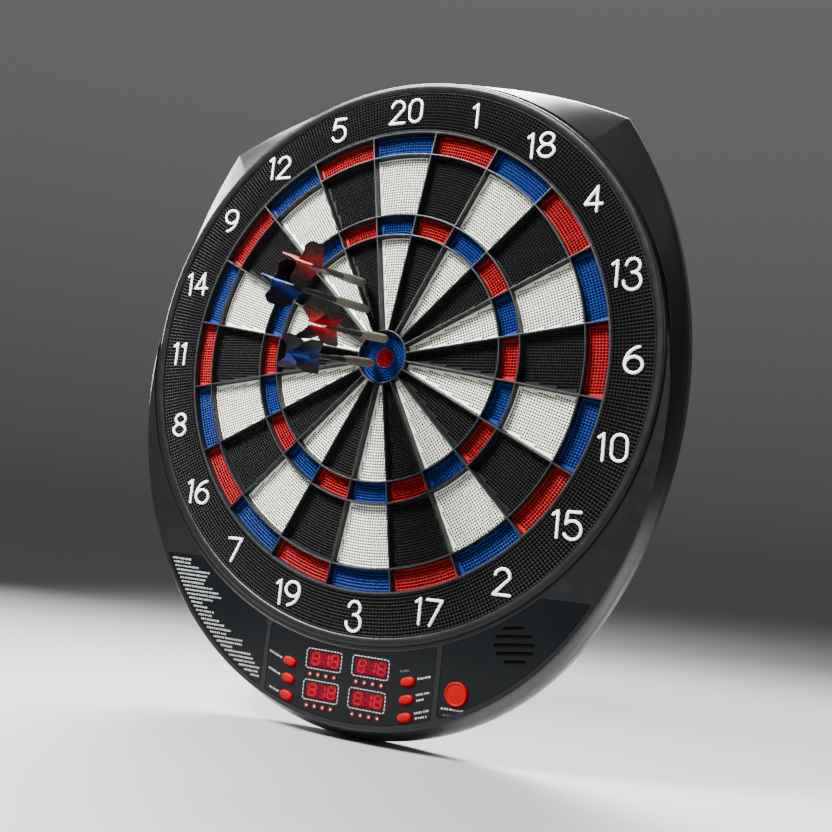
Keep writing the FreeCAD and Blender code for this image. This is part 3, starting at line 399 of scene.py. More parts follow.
def wedge_plate(mesh, inner, outer, angle):
    """A target segment between two radii, its sides parallel to the spokes."""
    side, border, bevel = SEGMENT_GAP, SEGMENT_LAND, SEGMENT_BEVEL
    turn = math.radians(angle)

    def world(u, r):
        z = math.sqrt(r * r - u * u)
        return (u * math.cos(turn) + z * math.sin(turn), -u * math.sin(turn) + z * math.cos(turn))

    def half_width(r, away):
        return r * math.sin(math.radians(SECTOR / 2) - math.asin(away / r))

    first, last = inner + border, outer - border
    rows = max(1, round((last - first) / PITCH))
    radii = [first + (last - first) * k / rows for k in range(rows + 1)]
    odd = int(2 * half_width(radii[-1], side + border) / PITCH) % 2
    columns = []
    for k in range(rows):
        room = 2 * half_width(radii[k], side + border) / PITCH
        n = int(room)
        if n % 2 != odd:
            n -= 1
        columns.append(max(0, n))
    corners, lowered = [], []
    for k, n in enumerate(columns):
        for j in range(n):
            u0 = (j - n / 2) * PITCH
            u1 = u0 + PITCH
            corners.append([world(u0, radii[k]), world(u1, radii[k]), world(u1, radii[k + 1]),
                            world(u0, radii[k + 1])])
            middle = abs(u0 + PITCH / 2) + PITCH / 2 - 1e-6

            def has(row):
                return 0 <= row < rows and middle <= columns[row] * PITCH / 2
            lowered.append([has(k - 1), j < n - 1, has(k + 1), j > 0])
    if corners:
        hole_cells(mesh, corners, lowered, SEGMENT_TOP)
    # solid land round the holes
    faces, points = [], []

    def add(u, r, d=SEGMENT_TOP):
        points.append((*world(u, r), d))
        return len(points) - 1

    def end_edge(k):
        """Positions along the first or last row: the land's end, every hole's sides, the land's end."""
        limit = half_width(radii[k], side + bevel)
        return [-limit] + [(j - columns[k] / 2) * PITCH for j in range(columns[k] + 1)] + [limit]

    low_edge, high_edge = end_edge(0), end_edge(-1)
    for edge, row, rim in ((low_edge, radii[0], inner + bevel), (high_edge, radii[-1], outer - bevel)):
        limit = half_width(rim, side + bevel)
        a = [add(u, row) for u in edge]
        b = [add(max(-limit, min(limit, u)) if 0 < i < len(edge) - 1 else math.copysign(limit, u), rim)
             for i, u in enumerate(edge)]
        for i in range(len(edge) - 1):
            quad = (a[i], b[i], b[i + 1], a[i + 1])
            faces.append(quad if rim > row else quad[::-1])
    for k, n in enumerate(columns):
        end = n * PITCH / 2
        for sign in (-1, 1):
            if n == 0 and sign == 1:
                continue
            near_limit = half_width(radii[k], side + bevel)
            far_limit = half_width(radii[k + 1], side + bevel)
            a = add(sign * end if n else -near_limit, radii[k])
            b = add(sign * end if n else -far_limit, radii[k + 1])
            far = 1 if n == 0 else sign
            c = add(far * far_limit, radii[k + 1])
            e = add(far * near_limit, radii[k])
            faces.append((a, b, c, e) if far > 0 else (e, c, b, a))
    # bevelled edge, wall and back
    loop = []
    limit = half_width(inner + bevel, side + bevel)
    for u in [-limit] + [max(-limit, min(limit, v)) for v in low_edge[1:-1]] + [limit]:
        loop.append((u, inner + bevel, 0))
    for r in radii:
        loop.append((half_width(r, side + bevel), r, 1))
    limit = half_width(outer - bevel, side + bevel)
    for u in [limit] + [max(-limit, min(limit, v)) for v in high_edge[-2:0:-1]] + [-limit]:
        loop.append((u, outer - bevel, 2))
    for r in radii[::-1]:
        loop.append((-half_width(r, side + bevel), r, 3))
    rings = [[], [], []]
    inner_limit = half_width(inner, side)
    outer_limit = half_width(outer, side)
    for u, r, where in loop:
        if where == 0:
            wide = u * inner_limit / half_width(inner + bevel, side + bevel)
            far = inner
        elif where == 2:
            wide = u * outer_limit / half_width(outer - bevel, side + bevel)
            far = outer
        else:
            wide = math.copysign(half_width(r, side), u)
            far = r
        rings[0].append(add(u, r))
        rings[1].append(add(wide, far, SEGMENT_TOP - bevel))
        rings[2].append(add(wide, far, SEGMENT_BACK))
    size = len(loop)
    for upper, lower in ((0, 1), (1, 2)):
        for i in range(size):
            j = (i + 1) % size
            faces.append((rings[upper][i], rings[lower][i], rings[lower][j], rings[upper][j]))
    faces.append(tuple(rings[2][::-1]))
    mesh.add(points, faces)


def ring_lattice(mesh, radii, counts, top, start=0.0, stop=360.0, hole=HOLE):
    """Rows of holes round the bull; neighbouring rows with the same count share dipped edges."""
    corners, lowered = [], []
    share = (stop - start) / 360.0
    whole = share > 0.999
    for k in range(len(radii) - 1):
        n = round(counts[k] * share)
        for j in range(n):
            a0 = start + (stop - start) * j / n
            a1 = start + (stop - start) * (j + 1) / n
            corners.append([polar(radii[k], a0), polar(radii[k], a1), polar(radii[k + 1], a1),
                            polar(radii[k + 1], a0)])
            inside = k > 0 and counts[k - 1] == counts[k]
            outside = k < len(radii) - 2 and counts[k + 1] == counts[k]
            lowered.append([inside, whole or j < n - 1, outside, whole or j > 0])
    hole_cells(mesh, corners, lowered, top, hole)


def ring_wall(mesh, profile, count, start=0.0, stop=360.0):
    """A turned surface through radius and distance pairs."""
    whole = stop - start > 359.9
    steps = count if whole else count + 1
    rows = []
    for radius, d in profile:
        rows.append([(*polar(radius, start + (stop - start) * i / count), d) for i in range(steps)])
    mesh.grid(rows, close_columns=whole)


def build_segments():
    for index, number in enumerate(NUMBERS):
        angle = index * SECTOR
        light = number in (20, 18, 13, 10, 2, 3, 7, 8, 14, 12)
        body = "number_%02d" % number
        node = "segments_%02d" % number
        single, bonus = Mesh(), Mesh()
        for ring, (inner, outer) in enumerate(RINGS):
            target = bonus if ring in (0, 2) else single
            wedge_plate(target, inner + SEGMENT_GAP, outer - SEGMENT_GAP, angle)
        make_piece(node + "_singles", single, WHITE if light else BLACK, body,
                   [node], 50.0, recalc=False)
        make_piece(node + "_double_triple", bonus, BLUE if light else RED, body,
                   [node], 50.0, recalc=False)


def build_bull():
    outer = Mesh()
    ring_lattice(outer, [7.6, 9.7, 11.8, 13.9, 16.0, 18.1], [26, 32, 39, 45, 51], SEGMENT_TOP)
    ring_wall(outer, [(7.6, SEGMENT_TOP), (7.42, SEGMENT_TOP), (7.25, SEGMENT_TOP - 0.2),
                      (7.25, SEGMENT_BACK), (18.65, SEGMENT_BACK), (18.65, SEGMENT_TOP - 0.25),
                      (18.4, SEGMENT_TOP), (18.1, SEGMENT_TOP)], 84)
    make_piece("outer_bull_piece", outer, BLUE, "outer_bull", ["outer_bull_segment"], 50.0)
    inner = Mesh()
    ring_lattice(inner, [1.0, 2.9, 4.8, 6.7], [6, 12, 18], SEGMENT_TOP)
    ring_wall(inner, [(6.7, SEGMENT_TOP), (6.85, SEGMENT_TOP), (7.0, SEGMENT_TOP - 0.2),
                      (7.0, SEGMENT_BACK)], 56)
    back = [(*polar(7.0, -360 * i / 56), SEGMENT_BACK) for i in range(56)]
    inner.add(back, [tuple(range(56))])
    ring_wall(inner, [(1.0, SEGMENT_TOP), (0.75, SEGMENT_TOP - 0.1), (0.5, SEGMENT_TOP - FUNNEL),
                      (0.45, SEGMENT_TOP - BORE_END)], 12)
    floor = [(*polar(0.45, 360 * i / 12), SEGMENT_TOP - BORE_END) for i in range(12)]
    inner.add(floor, [tuple(range(12))])
    make_piece("inner_bull_piece", inner, RED, "inner_bull", ["inner_bull_segment"], 50.0)


CATCH_INNER, CATCH_OUTER, CATCH_LAND = 172.9, 202.2, 0.5
CATCH_ROWS, CATCH_HOLES_ROUND = 12, 480


def build_catch_ring():
    inner, outer = CATCH_INNER, CATCH_OUTER
    rows = CATCH_ROWS
    first, last = inner + CATCH_LAND, outer - CATCH_LAND
    radii = [first + (last - first) * k / rows for k in range(rows + 1)]
    for quarter in range(4):
        mesh = Mesh()
        start = 90.0 * quarter
        ring_lattice(mesh, radii, [CATCH_HOLES_ROUND] * rows, SPIDER_TOP, start, start + 90.0, CATCH_HOLE)
        profile = [(first, SPIDER_TOP), (inner + 0.15, SPIDER_TOP), (inner, SPIDER_TOP - 0.2), (inner, 25.6),
                   (199.8, 25.6), (199.8, 14.0), (outer, 14.0), (outer, SPIDER_TOP - 0.2),
                   (outer - 0.15, SPIDER_TOP), (last, SPIDER_TOP)]
        ring_wall(mesh, profile, 120, start, start + 90.0)
        for angle in (start, start + 90.0):
            ends = [(*polar(r, angle), d) for r, d in profile]
            order = tuple(range(len(ends)))
            mesh.add(ends, [order if angle == start else order[::-1]])
        make_piece("catch_ring_quarter_%d" % (quarter + 1), mesh, CATCH, "board",
                   ["catch_ring"], 50.0)


# ---------------------------------------------------------------------------------------------------
# Spider: ribs with a narrow rounded top and sloping walls round every cell.
# ---------------------------------------------------------------------------------------------------
RIB_PROFILE = [(0.30, 30.05), (0.46, 29.97), (0.57, 29.75), (0.64, 29.3), (0.78, 26.8), (0.90, 24.0),
               (0.92, 17.3)]
ARC_STEPS = 14
SPIDER_RIM_TOP, SPIDER_RIM_BACK = 172.4, 172.7


def build_spider():
    mesh = Mesh()

    def loop(index, ring, away):
        """One cell's outline: along its inner arc, then back along its outer arc."""
        inner, outer = RINGS[ring]
        r0, r1 = inner + away, outer - away

        def edge(r):
            return SECTOR / 2 - math.degrees(math.asin(away / r))
        a, b = edge(r0), edge(r1)
        angle = index * SECTOR
        low = [polar(r0, angle - a + 2 * a * i / ARC_STEPS) for i in range(ARC_STEPS + 1)]
        high = [polar(r1, angle + b - 2 * b * i / ARC_STEPS) for i in range(ARC_STEPS + 1)]
        return low, high

    count = len(NUMBERS)
    tops = {}
    bottoms = {}
    for index in range(count):
        for ring in range(4):
            rows = []
            for away, d in RIB_PROFILE:
                low, high = loop(index, ring, away)
                rows.append([(x, z, d) for x, z in low + high])
            mesh.grid(rows, close_columns=True)
            tops[index, ring] = (rows[0][:ARC_STEPS + 1], rows[0][ARC_STEPS + 1:])
            bottoms[index, ring] = (rows[-1][:ARC_STEPS + 1], rows[-1][ARC_STEPS + 1:])
    outer_edge = {}
    for level, table in ((0, tops), (-1, bottoms)):
        away, d = RIB_PROFILE[level]
        for index in range(count):
            after = (index + 1) % count
            for ring in range(4):
                low, high = table[index, ring]
                low_after, high_after = table[after, ring]
                # spoke between neighbouring numbers
                mesh.add([low[-1], high[0], high_after[-1], low_after[0]], [(0, 1, 2, 3)])
                if ring < 3:
                    # ring rib between this cell and the one inside it, and the crossing
                    below = table[index, ring + 1][1][::-1]
                    mesh.grid([below, low])
                    below_after = table[after, ring + 1][1][::-1]
                    mesh.add([below[-1], low[-1], low_after[0], below_after[0]], [(0, 1, 2, 3)])
            # outermost ring rib
            high = table[index, 0][1][::-1]
            rim = SPIDER_RIM_TOP if level == 0 else SPIDER_RIM_BACK
            a = index * SECTOR
            edge_angle = SECTOR / 2 - math.degrees(math.asin(away / (DOUBLE_OUTER - away)))
            angles = [a - edge_angle + 2 * edge_angle * i / ARC_STEPS for i in range(ARC_STEPS + 1)]
            far = [(*polar(rim, v), d) for v in angles]
            mesh.grid([high, far])
            next_high = table[after, 0][1][::-1]
            next_far = (*polar(rim, a + SECTOR - edge_angle), d)
            mesh.add([high[-1], far[-1], next_far, next_high[0]], [(0, 1, 2, 3)])
            outer_edge[level, index] = far + [next_far]
            # round the bull
            low = table[index, 3][0]
            edge_angle = SECTOR / 2 - math.degrees(math.asin(away / (BULL_OUTER + away)))
            angles = [a - edge_angle + 2 * edge_angle * i / ARC_STEPS for i in range(ARC_STEPS + 1)]
            near = [(*polar(BULL_OUTER - away, v), d) for v in angles]
            mesh.grid([near, low])
            next_near = (*polar(BULL_OUTER - away, a + SECTOR - edge_angle), d)
            mesh.add([near[-1], low[-1], table[after, 3][0][0], next_near], [(0, 1, 2, 3)])
            outer_edge["bull", level, index] = near + [next_near]
    # outer wall and bull wall
    for index in range(count):
        mesh.grid([outer_edge[0, index], outer_edge[-1, index]])
    for index in range(count):
        top = outer_edge["bull", 0, index]
        rows = [top]
        for away, d in RIB_PROFILE[1:]:
            scale = (BULL_OUTER - away) / (BULL_OUTER - RIB_PROFILE[0][0])
            rows.append([(x * scale, z * scale, d) for x, z, _ in top])
        rows[-1] = outer_edge["bull", -1, index]
        mesh.grid(rows)
    make_piece("spider_web", mesh, SPIDER, "board", ["spider"], 30.0)


# ---------------------------------------------------------------------------------------------------
# Housing.  Its outline is a top arc, two side arcs that meet it at a corner, and a bottom arc.
# ---------------------------------------------------------------------------------------------------
def circle_through(a, b, c):
    """Centre and radius of the circle through three points."""
    m = np.array([[b[0] - a[0], b[1] - a[1]], [c[0] - b[0], c[1] - b[1]]]) * 2
    v = np.array([b[0] ** 2 + b[1] ** 2 - a[0] ** 2 - a[1] ** 2,
                  c[0] ** 2 + c[1] ** 2 - b[0] ** 2 - b[1] ** 2])
    centre = np.linalg.solve(m, v)
    return centre, float(np.hypot(*(np.array(a) - centre)))


HALF_WIDTH, TOP_HEIGHT, BOTTOM_DEPTH, CORNER_X = 219.5, 213.0, 275.8, 167.0
SIDE_RADIUS, BOTTOM_RADIUS = 331.0, 197.3
SIDE_X = HALF_WIDTH - SIDE_RADIUS
BOTTOM_Z = BOTTOM_RADIUS - BOTTOM_DEPTH
SIDE_Z = BOTTOM_Z + math.sqrt((SIDE_RADIUS - BOTTOM_RADIUS) ** 2 - SIDE_X ** 2)
CORNER_Z = SIDE_Z + math.sqrt(SIDE_RADIUS ** 2 - (CORNER_X - SIDE_X) ** 2)
CORNER_ANGLE = math.degrees(math.atan2(CORNER_X, CORNER_Z))
JOIN = np.array([-SIDE_X, BOTTOM_Z - SIDE_Z])
JOIN = JOIN / np.hypot(*JOIN)


def side_join(radius):
    return np.array([SIDE_X, SIDE_Z]) + JOIN * radius


RIM_TOP = circle_through((-CORNER_X, CORNER_Z), (0, TOP_HEIGHT), (CORNER_X, CORNER_Z))
RIM_SIDE = (np.array([SIDE_X, SIDE_Z]), SIDE_RADIUS)
RIM_BOTTOM = (np.array([0, BOTTOM_Z]), BOTTOM_RADIUS)
RIM_JOIN = side_join(SIDE_RADIUS)
# The flat face inside the rim: its corner, top, half width and bottom.
FACE_CORNER_RADIUS, FACE_TOP_HEIGHT, FACE_HALF_WIDTH, FACE_BOTTOM_DEPTH = 204.5, 209.0, 211.5, 265.0
FACE_CORNER = polar(FACE_CORNER_RADIUS, CORNER_ANGLE)
FACE_JOIN = side_join(SIDE_RADIUS - 5.0)
FACE_TOP = circle_through((-FACE_CORNER[0], FACE_CORNER[1]), (0, FACE_TOP_HEIGHT), FACE_CORNER)
FACE_SIDE = circle_through(FACE_CORNER, (FACE_HALF_WIDTH, SIDE_Z), FACE_JOIN)
FACE_BOTTOM = circle_through(FACE_JOIN, (0, -FACE_BOTTOM_DEPTH), (-FACE_JOIN[0], FACE_JOIN[1]))


def reach(circle, angle):
    """Distance from the bull to a circle that holds it, along an angle."""
    centre, radius = circle
    a = math.radians(angle)
    along = centre[0] * math.sin(a) + centre[1] * math.cos(a)
    return along + math.sqrt(radius ** 2 - centre[0] ** 2 - centre[1] ** 2 + along ** 2)


def outline(angle, top, side, bottom, join):
    """Distance from the bull to an outline of three kinds of arc, mirrored left and right."""
    away = abs((angle + 180.0) % 360.0 - 180.0)
    if away <= CORNER_ANGLE:
        return reach(top, away)
    if away <= math.degrees(math.atan2(join[0], join[1])):
        return reach(side, away)
    return reach(bottom, away)


def rim(angle):
    return outline(angle, RIM_TOP, RIM_SIDE, RIM_BOTTOM, RIM_JOIN)


def face_edge(angle):
    return outline(angle, FACE_TOP, FACE_SIDE, FACE_BOTTOM, FACE_JOIN)


FACE_BLEND = 1.6


def skin_height(radius, angle):
    """The housing's front surface: flat inside the face's edge, then falling straight to the rim."""
    edge, far = face_edge(angle), rim(angle)
    share = max(0.0, (radius - edge) / (far - edge))
    soft = FACE_BLEND / (far - edge)
    if share < soft:
        share = share * share / (2 * soft)
    else:
        share -= soft / 2
    return FACE - (FACE - RIM) * share


GROOVE_IN, GROOVE_OUT = 209.3, 211.2
OPENING, INNER_OPENING, OPENING_BACK = 202.45, 205.6, 19.0
WALL, RIM_ROUND = 2.6, 1.6
HOUSING_SHARP = 28.0
SEAT_BACK, WELL_BACK, CUT_FRONT = 30.1, 24.0, 34.0


def housing_angles():
    step = 0.75
    angles = [i * step for i in range(int(360 / step))]
    for corner in (CORNER_ANGLE, 360 - CORNER_ANGLE):
        angles = [a for a in angles if abs(a - corner) > 0.6]
        angles += [corner - 0.5, corner - 0.22, corner, corner + 0.22, corner + 0.5]
    return sorted(angles)


def build_housing():
    rows = []
    for angle in housing_angles():
        far = rim(angle)
        edge = face_edge(angle)
        radii = [GROOVE_OUT + 0.25]
        stop = far - RIM_ROUND
        start = radii[0]
        shoulder = [edge + v for v in (-1.2, 0.0, 0.8, 1.6, 2.6)]
        shoulder = [min(stop - 0.05, max(start + 0.05, v)) for v in shoulder]
        radii += [start + (shoulder[0] - start) * k / 4 for k in (1, 2, 3)]
        radii += shoulder
        radii += [shoulder[-1] + (stop - shoulder[-1]) * k / 3 for k in (1, 2, 3)]
        groove = skin_height(GROOVE_OUT, angle)
        line = [(OPENING, OPENING_BACK), (OPENING, FACE - 1.2), (GROOVE_IN - 0.9, FACE - 1.2),
                (GROOVE_IN, skin_height(GROOVE_IN, angle) - 1.6),
                (GROOVE_OUT - 0.3, groove - 1.5), (GROOVE_OUT, groove - 0.25)]
        line += [(r, skin_height(r, angle)) for r in radii]
        slope = skin_height(far - RIM_ROUND, angle)
        line += [(far - 0.8, (slope + RIM) / 2 + 0.12), (far - 0.3, RIM + 0.1), (far - 0.06, RIM - 0.8),
                 (far, RIM - 1.8), (far, 1.0), (far - 0.2, 0.35), (far - 0.8, 0.0), (far - WALL, 0.0),
                 (far - WALL, 9.5)]
        inner = [far - WALL - 0.3 + (207.5 - far + WALL + 0.3) * k / 4 for k in range(1, 5)]
        line += [(r, min(skin_height(r, angle), FACE) - WALL - 1.0) for r in inner]
        line += [(INNER_OPENING, OPENING_BACK)]
        rows.append([(*polar(r, angle), d) for r, d in line])
    mesh = Mesh()
    mesh.grid(rows, close_rows=True, close_columns=True)
    obj = make_piece("housing_shell", mesh, HOUSING, "board", ["front_housing"],
                     HOUSING_SHARP)

    def recess(inset):
        return (("centre", panel_outline(inset)), ("right", side_outline(1, inset)),
                ("left", side_outline(-1, inset)))

    cutters = []
    for name, points in recess(0.0):
        corner = 4.2 if name == "right" else 2.7
        cutters.append((name + "_seat", prism(rounded(points, corner), SEAT_BACK, CUT_FRONT)))
    for name, points in recess(2.5):
        cutters.append((name + "_well", prism(points, WELL_BACK, CUT_FRONT)))
    for name, data in cutters:
        cutter = new_object("cutter_" + name, data)
        modifier = obj.modifiers.new(name, "BOOLEAN")
        modifier.operation = "DIFFERENCE"
        modifier.solver = "EXACT"
        modifier.object = cutter
        apply_modifiers(obj)
        bpy.data.objects.remove(cutter)
    shade_smooth(obj.data, HOUSING_SHARP)


def apply_modifiers(obj):
    """Replaces the mesh with what its modifiers make of it."""
    graph = bpy.context.evaluated_depsgraph_get()
    data = bpy.data.meshes.new_from_object(obj.evaluated_get(graph), depsgraph=graph)
    obj.modifiers.clear()
    old = obj.data
    obj.data = data
    bpy.data.meshes.remove(old)


def prism(points, low, high):
    """A closed prism over an outline of x and z."""
    count = len(points)
    data = bpy.data.meshes.new("prism")
    verts = [(x, z, low) for x, z in points] + [(x, z, high) for x, z in points]
    faces = [tuple(range(count)), tuple(range(2 * count - 1, count - 1, -1))]
    faces += [(i, i + count, (i + 1) % count + count, (i + 1) % count) for i in range(count)]
    data.from_pydata(place(verts).tolist(), [], faces)
    clean(data)
    return data


PANEL_RING, PANEL_SPLIT, PANEL_BAR, PANEL_EDGE, PANEL_TOP = 212.0, 68.3, 4.0, 2.5, 160.0


def bottom_z(x, inset):
    centre, radius = FACE_BOTTOM
    return centre[1] - math.sqrt((radius - inset) ** 2 - x * x)


def ring_z(x, radius):
    return -math.sqrt(radius ** 2 - x * x)


def spread(a, b, count):
    return [a + (b - a) * i / count for i in range(count + 1)]


def panel_outline(inset):
    """The centre panel, between an arc round the target and the face's bottom edge."""
    x = PANEL_SPLIT - inset
    ring, low = PANEL_RING + inset, PANEL_EDGE + inset
    top = [(v, ring_z(v, ring)) for v in spread(-x, x, 40)]
    bottom = [(v, bottom_z(v, low)) for v in spread(x, -x, 40)]
    return top + bottom


def side_radius_at(x_sign, z, inset):
    """x of the face's edge at a height, on the side or the bottom arc."""
    best = None
    for centre, radius in (FACE_SIDE, FACE_BOTTOM):
        r = radius - PANEL_EDGE - inset
        inside = r * r - (z - centre[1]) ** 2
        if inside > 0:
            x = centre[0] + math.sqrt(inside)
            best = x if best is None else min(best, x)
    return x_sign * best


def side_outline(side, inset):
    """A side panel, between the same arc and the face's edge; side is 1 for the right, -1 for the left."""
    x0 = PANEL_SPLIT + PANEL_BAR + inset
    ring = PANEL_RING + inset
    top = -PANEL_TOP - inset
    ring_x = math.sqrt(ring ** 2 - top ** 2)
    inner = [(v, ring_z(v, ring)) for v in spread(x0, ring_x, 40)]
    outer_top = side_radius_at(1, top, inset)
    low = bottom_z(x0, PANEL_EDGE + inset)
    outer = [(side_radius_at(1, z, inset), z) for z in spread(top, low, 48)]
    points = inner + outer + [(x0, low)]
    cleaned = [points[0]]
    for p in points[1:]:
        if math.hypot(p[0] - cleaned[-1][0], p[1] - cleaned[-1][1]) > 0.02:
            cleaned.append(p)
    return [(side * x, z) for x, z in cleaned][::side]


def build_lip():
    """The raised ring round the target, a rounded bead with a fine step at its inner edge."""
    mesh = Mesh()
    profile = [(202.42, 22.0), (202.42, 29.9), (202.5, 30.5), (202.75, 30.85), (203.3, 31.1), (204.2, 31.35),
               (205.3, 31.6), (206.2, 31.72), (206.9, 31.72), (207.6, 31.6), (208.3, 31.25), (208.8, 30.8),
               (209.15, 30.2), (209.35, 29.4), (209.4, 28.0), (209.4, 20.0), (208.2, 19.2), (203.0, 19.2)]
    ring_wall(mesh, profile + [profile[0]], 480)
    make_piece("housing_ring", mesh, HOUSING, "board", ["front_housing"], 40.0)


# ---------------------------------------------------------------------------------------------------
# Raised strokes: numbers, print and display bars.
# ---------------------------------------------------------------------------------------------------
STROKE = [(0.0, 1.0), (0.4, 0.98), (0.68, 0.88), (0.87, 0.66), (0.97, 0.3), (1.0, -0.4)]


def stroke(mesh, path, half, height, base, profile=STROKE, end_steps=6):
    """A raised line drawn with a round pen along x and z points."""
    path = [np.array(p, float) for p in path]
    count = len(path)
    normals = []
    for i in range(count):
        before = path[max(0, i - 1)]
        after = path[min(count - 1, i + 1)]
        t = after - before
        t = t / np.hypot(*t)
        normals.append(np.array([-t[1], t[0]]))
    cross = [(-u, h) for u, h in profile[::-1]] + profile[1:]
    rows = []
    for p, n in zip(path, normals):
        rows.append([(*(p + n * u * half), base + h * height) for u, h in cross])
    mesh.grid(rows)
    for p, n, sign in ((path[0], normals[0], -1), (path[-1], normals[-1], 1)):
        tangent = np.array([n[1], -n[0]]) * sign
        rows = []
        for k in range(end_steps + 1):
            a = math.pi * k / end_steps
            direction = n * math.cos(a) + tangent * math.sin(a)
            rows.append([(*(p + direction * u * half), base + h * height) for u, h in profile])
        mesh.grid(rows)


def arc_points(a, m, b, count):
    """The arc from a to b through m."""
    centre, radius = circle_through(a, m, b)

    def angle(p):
        return math.atan2(p[1] - centre[1], p[0] - centre[0])
    start, middle, stop = angle(a), angle(m), angle(b)
    middle = start + (middle - start) % math.tau
    stop = start + (stop - start) % math.tau
    if middle > stop:
        stop -= math.tau
    return [(centre[0] + radius * math.cos(start + (stop - start) * i / count),
             centre[1] + radius * math.sin(start + (stop - start) * i / count)) for i in range(count + 1)]


# Half the width and height of a digit, the thickness and rise of its line, and the gap between digits.
DIGIT_WIDTH, DIGIT_HEIGHT, DIGIT_LINE, DIGIT_RISE, DIGIT_GAP = 6.0, 8.7, 1.05, 0.85, 1.0
NUMBER_CIRCLE = 188.3


def digit_paths(digit):
    """The strokes of one digit about its middle."""

    def p(x, z):
        return (x * DIGIT_WIDTH, z * DIGIT_HEIGHT)

    def arc(a, m, b):
        return arc_points(p(*a), p(*m), p(*b), 16)

    def bowl(cz, rx, rz):
        return arc((-rx, cz), (0, cz + rz), (rx, cz)) + arc((rx, cz), (0, cz - rz), (-rx, cz))[1:]

    shapes = {
        "0": [arc((-0.85, 0.4), (0, 1), (0.85, 0.4)) + arc((0.85, -0.4), (0, -1), (-0.85, -0.4))
              + [p(-0.85, 0.4)]],
        "1": [[p(-0.4, 0.72), p(0.15, 1)], [p(0.15, 1), p(0.15, -1)]],
        "2": [arc((-0.9, 0.5), (0.05, 1), (0.85, 0.3)) + [p(-1, -1)], [p(-1, -1), p(1, -1)]],
        "3": [arc((-0.8, 0.65), (0.75, 0.55), (-0.1, 0.06)), arc((-0.1, 0.06), (0.95, -0.5), (-1, -0.62))],
        "4": [[p(0.4, 1), p(-1, -0.4)], [p(-1, -0.4), p(1, -0.4)], [p(0.4, 1), p(0.4, -1)]],
        "5": [[p(0.8, 1), p(-0.65, 1)], [p(-0.65, 1), p(-0.85, 0.08)],
              arc((-0.85, 0.08), (0.95, -0.35), (-0.95, -0.7))],
        "6": [bowl(-0.38, 1, 0.62), arc((-1, -0.38), (-0.62, 0.5), (0.55, 1))],
        "7": [[p(-0.95, 1), p(0.95, 1)], [p(0.95, 1), p(-0.4, -1)]],
        "8": [bowl(0.52, 0.82, 0.48), bowl(-0.48, 1, 0.52)],
        "9": [bowl(0.38, 1, 0.62), arc((1, 0.38), (0.62, -0.5), (-0.55, -1))],
    }
    return shapes[digit]


def build_numbers():
    for index, number in enumerate(NUMBERS):
        mesh = Mesh()
        x, z = polar(NUMBER_CIRCLE, index * SECTOR)
        text = str(number)
        widths = [0.55 if c == "1" else 1.0 for c in text]
        pitch = DIGIT_WIDTH * 2 + DIGIT_LINE * 2 + DIGIT_GAP
        left = x - sum(widths) * pitch / 2
        for character, width in zip(text, widths):
            middle = left + width * pitch / 2
            for path in digit_paths(character):
                stroke(mesh, [(middle + u, z + v) for u, v in path], DIGIT_LINE, DIGIT_RISE,
                       SPIDER_TOP)
            left += width * pitch
        make_piece("dial_number_%02d" % number, mesh, NUMBER, "board", ["dial_numbers"], 50.0)


# ---------------------------------------------------------------------------------------------------
# Control panel: plates with rounded corners, print, displays and buttons.
# ---------------------------------------------------------------------------------------------------
def rounded(points, radius, steps=6):
    """The outline with its sharp corners replaced by arcs."""
    count = len(points)
    result = []
    for i in range(count):
        p = np.array(points[i], float)
        before = np.array(points[i - 1], float) - p
        after = np.array(points[(i + 1) % count], float) - p
        a, b = np.hypot(*before), np.hypot(*after)
        before, after = before / a, after / b
        turn = math.pi - math.acos(max(-1.0, min(1.0, float(before @ after))))
        if turn < 0.35:
            result.append(tuple(p))
            continue
        cut = min(radius * math.tan(turn / 2), a * 0.9, b * 0.9)
        start, stop = p + before * cut, p + after * cut
        for k in range(steps + 1):
            t = k / steps
            result.append(tuple((1 - t) ** 2 * start + 2 * t * (1 - t) * p + t ** 2 * stop))
    return result


def turned(u, v, x, z, turn):
    """The point u, v turned anticlockwise about the origin, then moved by x, z."""
    return (x + u * math.cos(turn) - v * math.sin(turn), z + u * math.sin(turn) + v * math.cos(turn))


def circle_rows(x, z, profile, steps):
    """Rings of points about x, z for pairs of radius and d."""
    angles = [math.tau * k / steps for k in range(steps)]
    return [[(x + r * math.cos(a), z + r * math.sin(a), d) for a in angles] for r, d in profile]


def close_ends(mesh, rows):
    """Flat faces over the last and the first row."""
    for row in (rows[-1], rows[0]):
        mesh.add(row, [tuple(range(len(row)))])


def oval(x, z, width, height, tilt=0.0, inset=0.0, steps=40, power=2.3):
    """A squarish ellipse, turned anticlockwise by tilt."""
    turn = math.radians(tilt)
    points = []
    for i in range(steps):
        a = math.tau * i / steps
        u = math.copysign(abs(math.cos(a)) ** (2 / power), math.cos(a)) * (width / 2 - inset)
        v = math.copysign(abs(math.sin(a)) ** (2 / power), math.sin(a)) * (height / 2 - inset)
        points.append(turned(u, v, x, z, turn))
    return points


def slot_outline(x, z, width, height, tilt, steps=10):
    """A slot with round ends, turned anticlockwise by tilt."""
    turn = math.radians(tilt)
    r, half = height / 2, (width - height) / 2
    points = []
    for sign in (1, -1):
        for k in range(steps + 1):
            a = -math.pi / 2 + math.pi * k / steps
            points.append((sign * (half + r * math.cos(a)), sign * r * math.sin(a)))
    return [turned(u, v, x, z, turn) for u, v in points]


def box_outline(x, z, width, height, corner=0.0):
    """An upright rectangle, with rounded corners if asked for."""
    w, h = width / 2, height / 2
    points = [(x - w, z - h), (x + w, z - h), (x + w, z + h), (x - w, z + h)]
    return rounded(points, corner) if corner else points


